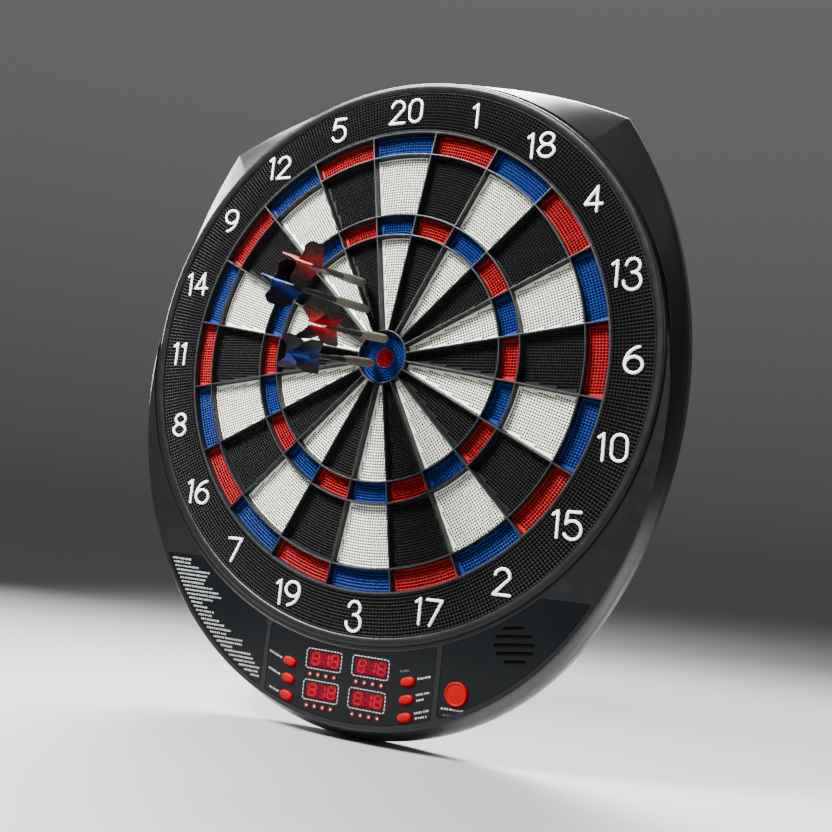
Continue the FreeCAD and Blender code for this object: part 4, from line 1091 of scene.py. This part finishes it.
def plate(name, outlines, low, high, bevel, material, body, replaces=()):
    """A flat plate with bevelled edges: the first outline is its edge, the others are holes."""
    curve = bpy.data.curves.new(name, "CURVE")
    curve.dimensions = "2D"
    curve.fill_mode = "BOTH"
    curve.extrude = ((high - low) / 2 - bevel) * MM
    curve.bevel_depth = bevel * MM
    curve.bevel_resolution = 2
    curve.offset = -bevel * MM
    for points in outlines:
        spline = curve.splines.new("POLY")
        spline.points.add(len(points) - 1)
        for target, (x, z) in zip(spline.points, points):
            target.co = (x * MM, z * MM, 0.0, 1.0)
        spline.use_cyclic_u = True
    holder = new_object(name + "_curve", curve)
    graph = bpy.context.evaluated_depsgraph_get()
    data = bpy.data.meshes.new_from_object(holder.evaluated_get(graph), depsgraph=graph)
    bpy.data.objects.remove(holder)
    bpy.data.curves.remove(curve)
    middle = (low + high) / 2 * MM
    data.transform(Matrix(((1, 0, 0, 0), (0, 0, -1, -middle), (0, 1, 0, 0), (0, 0, 0, 1))))
    clean(data, 2e-6)
    for vert in data.vertices:
        for level in (-low * MM, -high * MM):
            if abs(vert.co.y - level) < 0.03 * MM:
                vert.co.y = level
    clean(data, flat=math.radians(0.3))
    data.materials.clear()
    data.materials.append(material)
    # the front and back stay flat, only the bevels are smooth
    data.polygons.foreach_set("use_smooth", [abs(face.normal.y) < 0.9999 for face in data.polygons])
    data.set_sharp_from_angle(angle=math.radians(25.0))
    data.name = name
    attach(new_object(name, data), body, replaces)


PANEL_FRONT, PANEL_BACK, PANEL_BEVEL, PANEL_GAP = 31.3, 30.3, 0.18, 0.25
DISPLAYS = [(-20.2, -222.7), (18.2, -222.4), (-20.4, -244.8), (17.7, -244.9)]
WINDOW_WIDTH, WINDOW_HEIGHT = 25.0, 10.4
MODULE_BACK, MODULE_FRONT = 18.6, 29.2
LAMP_PITCH, LAMP_DROP = 6.75, 10.9
BUTTON_X, BUTTON_TOP, BUTTON_PITCH, BUTTON_TILT = 48.6, -227.3, 12.1, 15.0
BUTTON_WIDTH, BUTTON_HEIGHT, BUTTON_GAP = 11.0, 6.6, 0.3
BUTTONS = []
for button_side, side_name in ((-1, "left"), (1, "right")):
    for level, level_name in enumerate(("upper", "middle", "lower")):
        BUTTONS.append(("%s_%s_button" % (side_name, level_name), BUTTON_X * button_side,
                        BUTTON_TOP - BUTTON_PITCH * level, BUTTON_TILT * button_side))
# x, z and radius
ROUND = (85.6, -230.0, 8.3)
SPEAKER_AT = (123.5, -192.6, 14.5)
SLOT_PITCH, SLOT_HEIGHT, SLOT_TILT = 5.4, 2.6, 7.0


def speaker_slots():
    """Five slots across a disc, longest in the middle."""
    turn = math.radians(SLOT_TILT)
    shapes = []
    for step in (-2, -1, 0, 1, 2):
        away = step * SLOT_PITCH
        length = 2 * math.sqrt(SPEAKER_AT[2] ** 2 - (1.15 * away) ** 2)
        x, z = turned(0.0, away, SPEAKER_AT[0], SPEAKER_AT[1], turn)
        shapes.append(slot_outline(x, z, length, SLOT_HEIGHT, SLOT_TILT))
    return shapes


def lamp_places():
    """Four lamps in a row under each display."""
    return [(x + step * LAMP_PITCH, z - LAMP_DROP) for x, z in DISPLAYS for step in (-1.5, -0.5, 0.5, 1.5)]


def build_panels():
    def panel(name, outlines):
        plate(name + "_plate", outlines, PANEL_BACK, PANEL_FRONT, PANEL_BEVEL, PANEL, "board",
              [name])

    hole_width, hole_height = BUTTON_WIDTH + 2 * BUTTON_GAP, BUTTON_HEIGHT + 2 * BUTTON_GAP
    holes = [oval(x, z, hole_width, hole_height, tilt) for _, x, z, tilt in BUTTONS]
    holes += [box_outline(x, z, WINDOW_WIDTH + 0.3, WINDOW_HEIGHT + 0.3, 0.7) for x, z in DISPLAYS]
    holes += [oval(x, z, 3.2, 3.2, power=2.0, steps=20) for x, z in lamp_places()]
    panel("score_panel", [rounded(panel_outline(PANEL_GAP), 2.5)] + holes)
    holes = [oval(ROUND[0], ROUND[1], 17.4, 17.4, power=2.0, steps=64)] + speaker_slots()
    panel("speaker_panel", [rounded(side_outline(1, PANEL_GAP), 4.0)] + holes)
    # A near-black disc behind the speaker slots: painted shade that makes the slots look dark.
    slot_shade_disc = oval(SPEAKER_AT[0], SPEAKER_AT[1], 34.0, 34.0, power=2.0, steps=48)
    plate("speaker_slot_shade_disc", [slot_shade_disc], 29.9, 30.28, 0.05, SLOT_SHADE, "board")
    panel("game_list_panel", [rounded(side_outline(-1, PANEL_GAP), 2.5)])


THIN = [(0.0, 1.0), (0.7, 1.0), (0.95, 0.7), (1.0, -0.5)]


def jitter(seed):
    """A fixed, uneven number between 0 and 1."""
    value = math.sin(seed * 12.9898) * 43758.5453
    return value - math.floor(value)


def letter(mesh, middle, along, half_width, half_height, base):
    """One raised block of print."""
    up = np.array((-along[1], along[0]))
    rows = []
    for inset, rise in ((0.0, -0.04), (0.0, 0.06), (0.05, 0.10)):
        w, h = half_width - inset, half_height - inset
        corners = [(-w, -h), (w, -h), (w, h), (-w, h)]
        rows.append([(*(middle + along * u + up * v), base + rise) for u, v in corners])
    mesh.grid(rows, close_columns=True)
    close_ends(mesh, rows)


def words(mesh, start, stop, half, seed, base=PANEL_FRONT):
    """A line of print reduced to plain dashes of uneven length."""
    start, stop = np.array(start, float), np.array(stop, float)
    length = float(np.hypot(*(stop - start)))
    along = (stop - start) / length
    place_at, index = 0.0, 0
    while place_at < length - 0.6:
        dash = 0.70 + 0.60 * jitter(seed + 7.3 * index)
        if length - place_at - dash < 1.0:
            dash = length - place_at
        tall = half * (0.78 + 0.22 * jitter(seed + 1.9 * index))
        letter(mesh, start + along * (place_at + dash / 2), along, dash / 2, tall, base)
        place_at += dash + (0.62 if jitter(seed + 3.1 * index) < 0.8 else 1.1)
        index += 1


def dashes(mesh, path, dash, gap, half):
    """A closed line drawn as evenly spaced dashes."""
    path = np.array(path, float)
    lengths = np.concatenate([[0.0], np.cumsum(np.hypot(*np.diff(path, axis=0).T))])
    count = round(lengths[-1] / (dash + gap))
    step = lengths[-1] / count
    for k in range(count):
        at = np.linspace(k * step + half, (k + 1) * step - gap - half, 5)
        line = np.stack([np.interp(at, lengths, path[:, 0]), np.interp(at, lengths, path[:, 1])], axis=1)
        stroke(mesh, list(line), half, 0.10, PANEL_FRONT, THIN, 3)


# The list of games is plain dashes in lines of these lengths.
GAME_LINES = [18.0, 16.0, 22.6, 32.0, 29.0, 24.5, 22.6, 29.0, 33.0, 34.0, 22.6, 10.4, 13.0, 17.0,
              14.0, 17.0, 19.0, 22.6, 15.0, 27.0, 24.5, 12.0, 23.6, 21.7, 19.0, 18.5, 12.0, 7.5]
GAME_TOP, GAME_HEIGHT = -163.6, 78.2


def build_print():
    labels = Mesh()
    lines = [((-67.2, -222.0), (-56.0, -225.9)), ((-66.4, -234.2), (-56.1, -237.8)),
             ((-63.9, -247.4), (-55.9, -250.1)), ((55.6, -224.6), (65.0, -221.6)),
             ((55.6, -235.4), (65.4, -232.2)), ((56.4, -239.0), (62.6, -236.9)),
             ((55.6, -247.7), (66.0, -244.1)), ((56.6, -250.9), (66.2, -247.8)),
             ((75.2, -240.9), (92.0, -240.3))]
    for index, (start, stop) in enumerate(lines):
        words(labels, start, stop, 0.72, 3.0 + index)
    make_piece("button_print", labels, PRINT, "board", angle=60.0)
    faint = Mesh()
    lines = [((41.7, -221.4), (50.2, -219.6)), ((77.1, -245.0), (88.4, -244.4))]
    for index, (start, stop) in enumerate(lines):
        words(faint, start, stop, 0.7, 40.0 + index)
    make_piece("faint_print", faint, FAINT, "board", angle=60.0)
    games = Mesh()
    last = len(GAME_LINES) - 1
    for row, length in enumerate(GAME_LINES):
        z = GAME_TOP - GAME_HEIGHT * row / last
        x = side_radius_at(-1, z, 2.6)
        words(games, (x, z), (x + length, z - 0.25), 0.74, 60.0 + row)
    make_piece("game_list_print", games, PRINT, "board", angle=60.0)
    frames = Mesh()
    for x, z in DISPLAYS:
        points = box_outline(x, z, 29.3, 13.9, 2.4)
        dashes(frames, points + [points[0]], 2.1, 0.55, 0.36)
    make_piece("display_frames", frames, PRINT, "board", angle=60.0)


def build_displays():
    lit = {"1": "bc", "8": "abcdefg"}
    bars = {"a": ((-1, 1), (1, 1)), "b": ((1, 1), (1, 0)), "c": ((1, 0), (1, -1)), "d": ((-1, -1), (1, -1)),
            "e": ((-1, 0), (-1, -1)), "f": ((-1, 1), (-1, 0)), "g": ((-1, 0), (1, 0))}
    bodies, glow, dull = Mesh(), Mesh(), Mesh()
    bar = [(0.0, 1.0), (0.85, 1.0), (1.0, 0.8), (1.0, -0.5)]
    for x, z in DISPLAYS:
        outline_points = box_outline(x, z, WINDOW_WIDTH - 0.5, WINDOW_HEIGHT - 0.5)
        rows = [[(u, v, d) for u, v in outline_points] for d in (MODULE_BACK, MODULE_FRONT)]
        bodies.grid(rows, close_columns=True)
        close_ends(bodies, rows)
        for place_index, digit in enumerate("818"):
            centre = x + (place_index - 1) * 8.0
            for name, (a, b) in bars.items():
                target = glow if name in lit[digit] else dull
                ends = [np.array((centre + u * 2.75 + v * 0.35, z + v * 4.0)) for u, v in (a, b)]
                step = (ends[1] - ends[0]) / np.hypot(*(ends[1] - ends[0]))
                stroke(target, [ends[0] + step * 0.85, ends[1] - step * 0.85], 0.78, 0.35,
                       MODULE_FRONT, bar, 2)
    make_piece("display_modules", bodies, MODULE, "board", ["led_displays"], 30.0)
    make_piece("display_lit_bars", glow, LIT, "board", angle=30.0)
    make_piece("display_dark_bars", dull, MODULE, "board", angle=30.0)
    for index, (x, z) in enumerate(DISPLAYS):
        window = box_outline(x, z, WINDOW_WIDTH, WINDOW_HEIGHT, 0.6)
        plate("display_window_%d" % (index + 1), [window], 30.1, 31.25, 0.12, WINDOW, "board",
              ["display_windows"])
    rims, lamps = Mesh(), Mesh()
    for x, z in lamp_places():
        ring = [(1.50, MODULE_BACK), (1.50, 31.7), (1.95, 31.75), (1.90, 31.9), (1.6, 32.0), (1.2, 31.98),
                (0.82, 31.75), (0.82, 30.6)]
        lens = [(0.80, 30.4), (0.80, 31.75), (0.72, 31.98), (0.56, 32.14), (0.34, 32.24), (0.12, 32.27),
                (0.0, 32.27)]
        for target, profile in ((rims, ring), (lamps, lens)):
            target.grid(circle_rows(x, z, profile, 20), close_columns=True)
    make_piece("lamp_rims", rims, MODULE, "board", ["led_displays"], 40.0)
    make_piece("lamp_lenses", lamps, LAMP, "board", ["led_displays"], 50.0)


def build_buttons():
    for name, x, z, tilt in BUTTONS:
        mesh = Mesh()
        profile = [(-0.8, 27.0), (-0.8, 28.2), (0.0, 28.2), (0.0, 32.0), (0.1, 32.45), (0.35, 32.85),
                   (0.75, 33.15), (1.3, 33.38), (2.1, 33.55), (2.9, 33.62)]
        rows = [[(u, v, d) for u, v in oval(x, z, BUTTON_WIDTH, BUTTON_HEIGHT, tilt, inset)]
                for inset, d in profile]
        mesh.grid(rows, close_columns=True)
        close_ends(mesh, rows)
        make_piece(name + "_cap", mesh, BUTTON, name + "_cap", [name], 50.0)
    x, z, r = ROUND
    mesh = Mesh()
    profile = [(r + 0.8, 27.0), (r + 0.8, 28.2), (r, 28.2), (r, 32.5), (r - 0.12, 33.0), (r - 0.4, 33.4),
               (r - 0.8, 33.58), (r - 1.25, 33.55), (r - 1.55, 33.3), (r - 1.7, 33.05), (r - 1.85, 33.0),
               (r - 2.3, 33.06), (r - 4.0, 33.2), (r - 6.0, 33.28), (r - 7.6, 33.3)]
    rows = circle_rows(x, z, profile, 64)
    mesh.grid(rows, close_columns=True)
    close_ends(mesh, rows)
    make_piece("round_button_cap", mesh, BUTTON, "round_button_cap", ["round_button"], 50.0)


def emitter(name, colour, glow, strength, rough):
    """Lit plastic that glows faintly."""
    material, tree, shader = new_material(name)
    cloud = noise(tree, 400.0, 2.0)
    vary_input(tree, cloud, shader, "Base Color", tint(colour, 0.9), tint(colour, 1.05))
    shader.inputs["Roughness"].default_value = rough
    shader.inputs["Emission Color"].default_value = (*glow, 1.0)
    shader.inputs["Emission Strength"].default_value = strength
    return material


def tinted_window(name, colour):
    """Clear tinted plastic with faint flow marks."""
    material, tree, shader = new_material(name)
    cloud = noise(tree, 90.0, 3.0)
    vary_input(tree, cloud, shader, "Base Color", tint(colour, 0.92), tint(colour, 1.05))
    vary_input(tree, cloud, shader, "Roughness", grey(0.08), grey(0.16))
    shader.inputs["Transmission Weight"].default_value = 0.95
    shader.inputs["IOR"].default_value = 1.12
    return material


LIT = emitter("display_lit", (0.25, 0.001, 0.006), (1.0, 0.0, 0.02), 0.26, 0.35)
MODULE = plastic("display_module", (0.085, 0.002, 0.005), 0.45, 0.06, 9000.0, 0.00001, 0.1, 0.15)
LAMP = emitter("lamp_lens", (0.62, 0.36, 0.37), (1.0, 0.55, 0.55), 0.12, 0.2)
WINDOW = tinted_window("window_red", (0.90, 0.05, 0.14))
FAINT = plastic("print_faint", (0.045, 0.047, 0.05), 0.45, 0.05)

build_segments()
build_bull()
build_catch_ring()
build_spider()
build_housing()
build_lip()
build_numbers()
build_panels()
build_print()
build_displays()
build_buttons()


# ---------------------------------------------------------------------------------------------------
# Darts, each drawn along its own axis with height 0 on the segments' face.
# ---------------------------------------------------------------------------------------------------
DARTS = [
    # x, z, aim to the right and up per unit towards the player, stand-off, roll, colour
    ("dart_1", -22.4, 56.3, 0.115, -0.125, 4.0, 70.0, "red"),
    ("dart_2", -14.6, 35.3, -0.100, -0.050, 5.6, 60.0, "blue"),
    ("dart_3", 0.8, 14.0, 0.037, -0.122, 2.0, 35.0, "red"),
    ("dart_4", -8.6, -4.4, -0.002, -0.126, 2.0, 35.0, "blue"),
]


BARREL_LENGTH, SHAFT_LENGTH, FLIGHT_LENGTH, FLIGHT_OVERLAP = 42.0, 42.0, 34.0, 8.0
# How far the vanes stand out from the shaft's axis, at their widest and at the rear corners.
VANE_WIDE, VANE_NARROWER = 15.8, 4.8


def dart_matrix(x, z, aim_x, aim_z, roll):
    tail = Vector((aim_x, -1.0, aim_z)).normalized()
    spin = Matrix.Rotation(math.radians(roll), 3, "Z").to_quaternion()
    turn = Vector((0, 0, 1)).rotation_difference(tail) @ spin
    matrix = turn.to_matrix().to_4x4()
    matrix.translation = Vector((x * MM, -SEGMENT_TOP * MM, z * MM))
    return matrix


def turned_rows(profile, count, twist=None):
    """Rings of points about the dart's axis, for pairs of radius and height."""
    rows = []
    for r, h in profile:
        row = []
        for k in range(count):
            a = math.tau * k / count
            q = r if twist is None else r + twist(a, h)
            row.append((q * math.cos(a), q * math.sin(a), h))
        rows.append(row)
    return rows


def film(name, stops):
    """Printed film for a flight: bright at the shaft, flame-like dark streaks towards the edge."""
    material, tree, shader = new_material(name)
    uv = tree.nodes.new("ShaderNodeUVMap")
    uv.uv_map = "film"
    split = tree.nodes.new("ShaderNodeSeparateXYZ")
    link(tree, uv, "UV", split, "Vector")
    texture = tree.nodes.new("ShaderNodeTexNoise")
    texture.inputs["Scale"].default_value = 3.6
    texture.inputs["Detail"].default_value = 4.0
    texture.inputs["Roughness"].default_value = 0.55
    link(tree, uv, "UV", texture, "Vector")
    total = None
    for source, socket, share in ((texture, "Fac", 0.56), (split, "X", 0.50), (split, "Y", 0.16)):
        step = tree.nodes.new("ShaderNodeMath")
        step.operation = "MULTIPLY_ADD"
        link(tree, source, socket, step, 0)
        step.inputs[1].default_value = share
        step.inputs[2].default_value = 0.0
        if total:
            link(tree, total, "Value", step, 2)
        total = step
    shade = ramp(tree, total, "Value", stops)
    link(tree, shade, "Color", shader, "Base Color")
    vary_input(tree, texture, shader, "Roughness", grey(0.36), grey(0.50))
    shader.inputs["Specular IOR Level"].default_value = 0.10
    return material


FILM_RED = film("flight_red", [
    (0.0, (0.55, 0.22, 0.19)), (0.10, (0.45, 0.13, 0.11)), (0.20, (0.40, 0.0020, 0.004)),
    (0.50, (0.32, 0.0008, 0.004)), (0.62, (0.13, 0.0008, 0.002)), (0.73, (0.010, 0.002, 0.003)),
    (1.0, (0.005, 0.003, 0.004))])
FILM_BLUE = film("flight_blue", [
    (0.0, (0.16, 0.22, 0.24)), (0.10, (0.05, 0.12, 0.16)), (0.20, (0.002, 0.065, 0.42)),
    (0.46, (0.001, 0.026, 0.240)), (0.58, (0.002, 0.008, 0.070)), (0.69, (0.004, 0.004, 0.010)),
    (1.0, (0.010, 0.003, 0.005))])


def build_point(name, matrix, standoff):
    mesh = Mesh()
    profile = [(0.0, -7.0), (0.25, -6.95), (0.42, -6.6), (0.55, -5.0), (0.6, -3.0), (0.6, standoff * 0.4)]
    ridges = 5
    for k in range(ridges):
        h = standoff * (0.4 + 0.5 * k / ridges)
        crest, foot = 0.75 + 0.12 * k, 0.65 + 0.12 * k
        profile += [(crest, h + 0.05), (crest, h + standoff * 0.06), (foot, h + standoff * 0.08)]
    profile += [(1.5, standoff - 0.1), (1.55, standoff + 0.1), (1.2, standoff + 0.6)]
    mesh.grid(turned_rows(profile, 24), close_columns=True)
    make_piece(name + "_tip", mesh, DARK, name, [name + "_point"], matrix=matrix)


def build_barrel(name, matrix, standoff):
    mesh = Mesh()
    rear = standoff + BARREL_LENGTH
    profile = [(0.9, standoff + 0.25), (1.5, standoff + 0.2), (1.95, standoff + 0.4), (2.35, standoff + 0.9),
               (2.7, standoff + 1.8), (2.95, standoff + 3.0), (3.15, standoff + 4.6), (3.28, standoff + 6.6),
               (3.3, standoff + 8.0)]
    grooves = 12
    start, stop = standoff + 9.0, rear - 13.0
    for k in range(grooves):
        h = start + (stop - start) * k / grooves
        profile += [(3.3, h), (3.3, h + 1.15), (3.16, h + 1.25), (3.16, h + 1.45), (3.3, h + 1.55)]
    profile += [(3.3, rear - 11.0), (3.25, rear - 8.0), (3.1, rear - 5.0), (2.9, rear - 2.4),
                (2.7, rear - 0.6), (2.5, rear - 0.1), (2.2, rear + 0.05), (1.0, rear + 0.05)]
    mesh.grid(turned_rows(profile, 40), close_columns=True)
    make_piece(name + "_grip", mesh, BARREL, name, [name + "_barrel"], matrix=matrix)


def build_shaft(name, matrix, standoff):
    mesh = Mesh()
    rear = standoff + BARREL_LENGTH
    end = rear + SHAFT_LENGTH
    profile = [(1.0, rear + 0.1), (2.3, rear + 0.1), (2.42, rear + 0.4), (2.45, rear + 1.5),
               (2.2, rear + 2.0), (2.2, rear + 2.6), (2.42, rear + 3.0), (2.42, rear + 9.0),
               (2.2, rear + 14.0), (1.9, rear + 20.0), (1.65, rear + 27.0), (1.6, end - 8.0),
               (1.72, end - 7.4), (1.75, end + 1.0), (1.45, end + 3.2), (0.9, end + 3.9),
               (0.05, end + 4.0)]

    def flute(a, h):
        inside = 1.0 if rear + 9.5 < h < end - 9.0 else 0.0
        return 0.12 * inside * math.cos(6 * a + h * 0.25)
    dense = []
    for (r0, h0), (r1, h1) in zip(profile, profile[1:]):
        steps = max(1, int((h1 - h0) / 1.2))
        dense += [(r0 + (r1 - r0) * k / steps, h0 + (h1 - h0) * k / steps) for k in range(steps)]
    dense.append(profile[-1])
    mesh.grid(turned_rows(dense, 36, flute), close_columns=True)
    make_piece(name + "_stem", mesh, DARK, name, [name + "_shaft_and_flight"], matrix=matrix)


def vane_reach(t):
    """How far a vane stands out, at a share of its length."""
    if t < 0.42:
        return 1.4 + 14.4 * math.sin(math.pi / 2 * t / 0.42) ** 1.15
    if t < 0.74:
        return VANE_WIDE
    s = (t - 0.74) / 0.26
    return VANE_WIDE - VANE_NARROWER * s ** 2.4


def build_flight(name, matrix, standoff, material, tone_shifts):
    start = standoff + BARREL_LENGTH + SHAFT_LENGTH - FLIGHT_OVERLAP
    rows, columns = 30, 12
    for vane in range(4):
        direction = vane * 90.0
        u = Vector((math.cos(math.radians(direction)), math.sin(math.radians(direction)), 0))
        v = Vector((-u.y, u.x, 0))
        front, back, uvs = [], [], []
        for i in range(rows + 1):
            t = i / rows
            far = vane_reach(t)
            line_front, line_back = [], []
            for j in range(columns + 1):
                s = j / columns
                r = 1.2 + (far - 1.2) * s
                notch = 2.2 * math.sin(math.pi * s) * max(0.0, (t - 0.85) / 0.15)
                h = start + FLIGHT_LENGTH * t - notch
                bend = 0.55 * (s ** 2) * math.sin(2.2 * t + vane * 1.3 + standoff)
                half = 0.16 * (1.0 - 0.7 * (j == columns or i in (0, rows)))
                base = u * r + Vector((0, 0, h))
                line_front.append(tuple(base + v * (bend + half)))
                line_back.append(tuple(base + v * (bend - half)))
                uvs.append((r / 16.0 + tone_shifts[vane], t))
            front.append(line_front)
            back.append(line_back)
        mesh = Mesh()
        mesh.grid(front)
        mesh.grid(back)
        n = (rows + 1) * (columns + 1)

        def at(i, j, layer):
            return layer * n + i * (columns + 1) + j
        edge = [(0, j) for j in range(columns + 1)] + [(i, columns) for i in range(1, rows + 1)]
        edge += [(rows, j) for j in range(columns - 1, -1, -1)] + [(i, 0) for i in range(rows - 1, 0, -1)]
        for k in range(len(edge)):
            a, b = edge[k], edge[(k + 1) % len(edge)]
            mesh.faces.append((at(*a, 0), at(*b, 0), at(*b, 1), at(*a, 1)))
        obj = make_piece("%s_vane_%d" % (name, vane + 1), mesh, material, name,
                         [name + "_shaft_and_flight"], merge=0.0, matrix=matrix)
        layer = obj.data.uv_layers.new(name="film")
        values = np.array(uvs + uvs)
        loops = np.zeros(len(obj.data.loops), dtype=np.int32)
        obj.data.loops.foreach_get("vertex_index", loops)
        layer.data.foreach_set("uv", values[loops].astype(np.float32).ravel())


# How far each vane's colour is moved along the film's ramp: above 0 towards black, below 0 towards the pale
# tint.
VANE_TONE_SHIFTS = {"dart_1": (0.0, -0.75, 0.12, 0.1), "dart_2": (0.38, -0.55, 0.05, 0.0),
          "dart_3": (0.0, -0.08, 0.12, 0.05), "dart_4": (0.15, 0.30, -0.25, 0.08)}

for dart, x, z, aim_x, aim_z, standoff, roll, colour in DARTS:
    matrix = dart_matrix(x, z, aim_x, aim_z, roll)
    skin = FILM_RED if colour == "red" else FILM_BLUE
    build_point(dart, matrix, standoff)
    build_barrel(dart, matrix, standoff)
    build_shaft(dart, matrix, standoff)
    build_flight(dart, matrix, standoff, skin, VANE_TONE_SHIFTS[dart])


# ---------------------------------------------------------------------------------------------------
# Stage, lights and camera.
# ---------------------------------------------------------------------------------------------------
# In metres.
FLOOR_HALF, FLOOR_GAP = 40.0, 0.0005


def build_stage():
    """A pale floor and a soft studio sky."""
    low = cad_box[0][2] - FLOOR_GAP
    data = bpy.data.meshes.new("stage_floor")
    w = FLOOR_HALF
    data.from_pydata([(-w, -w, low), (w, -w, low), (w, w, low), (-w, w, low)], [], [(0, 1, 2, 3)])
    floor = new_object("stage_floor", data)
    material, tree, shader = new_material("floor")
    cloud = noise(tree, 3.0, 2.0)
    vary_input(tree, cloud, shader, "Base Color", grey(0.30), grey(0.32))
    shader.inputs["Roughness"].default_value = 0.65
    data.materials.append(material)
    world = bpy.data.worlds.new("studio")
    bpy.context.scene.world = world
    world.use_nodes = True
    tree = world.node_tree
    back = tree.nodes["Background"]
    split = tree.nodes.new("ShaderNodeSeparateXYZ")
    link(tree, coordinates(tree), "Generated", split, "Vector")
    sky = ramp(tree, split, "Z", [(0.0, (0.30, 0.303, 0.306)), (0.06, (0.38, 0.383, 0.387)),
                                  (0.30, (0.60, 0.605, 0.61)), (1.0, grey(1.0))])
    link(tree, sky, "Color", back, "Color")
    back.inputs["Strength"].default_value = 0.20


def area_light(name, spot, target, width, height, power, spread, colour=(1, 1, 1)):
    light = bpy.data.lights.new(name, "AREA")
    light.shape = "RECTANGLE"
    light.size = width
    light.size_y = height
    light.energy = power
    light.spread = math.radians(spread)
    light.color = colour
    obj = new_object(name, light)
    obj.location = spot
    obj.rotation_euler = (Vector(target) - Vector(spot)).to_track_quat("-Z", "Y").to_euler()


# The lens in millimetres, then the camera's place in metres and its axes, as measured from the photo.
FOCAL_LENGTH = 44.52
CAMERA_PLACE = (0.368954, -0.679881, -0.126036)
CAMERA_RIGHT, CAMERA_UP = (0.88929, 0.44638, 0.09958), (-0.03755, -0.14573, 0.98861)
CAMERA_BACK = (0.45581, -0.88290, -0.11284)


def build_camera():
    camera = bpy.data.cameras.new("camera")
    camera.lens = FOCAL_LENGTH
    camera.sensor_width = 36.0
    camera.clip_start = 0.01
    obj = new_object("camera", camera)
    matrix = Matrix((CAMERA_RIGHT, CAMERA_UP, CAMERA_BACK)).transposed().to_4x4()
    matrix.translation = Vector(CAMERA_PLACE)
    obj.matrix_world = matrix
    bpy.context.scene.camera = obj


build_stage()
# Each light has its place, target, width, height, watts and spread in degrees.
area_light("key", (-0.48, -0.88, 1.05), (-0.10, 0.0, 0.08), 0.5, 0.5, 17.0, 58.0, (1.0, 0.995, 0.98))
area_light("top_rim", (-0.30, 0.62, 1.20), (0, 0.05, 0.15), 1.9, 0.9, 36.0, 60.0)
area_light("left_rim", (-1.2, 0.35, 0.35), (-0.1, 0, 0.05), 0.5, 1.0, 3.2, 50.0)
area_light("fill", (1.3, -0.8, 0.7), (0, 0, 0.0), 0.9, 0.9, 1.0, 70.0)
build_camera()
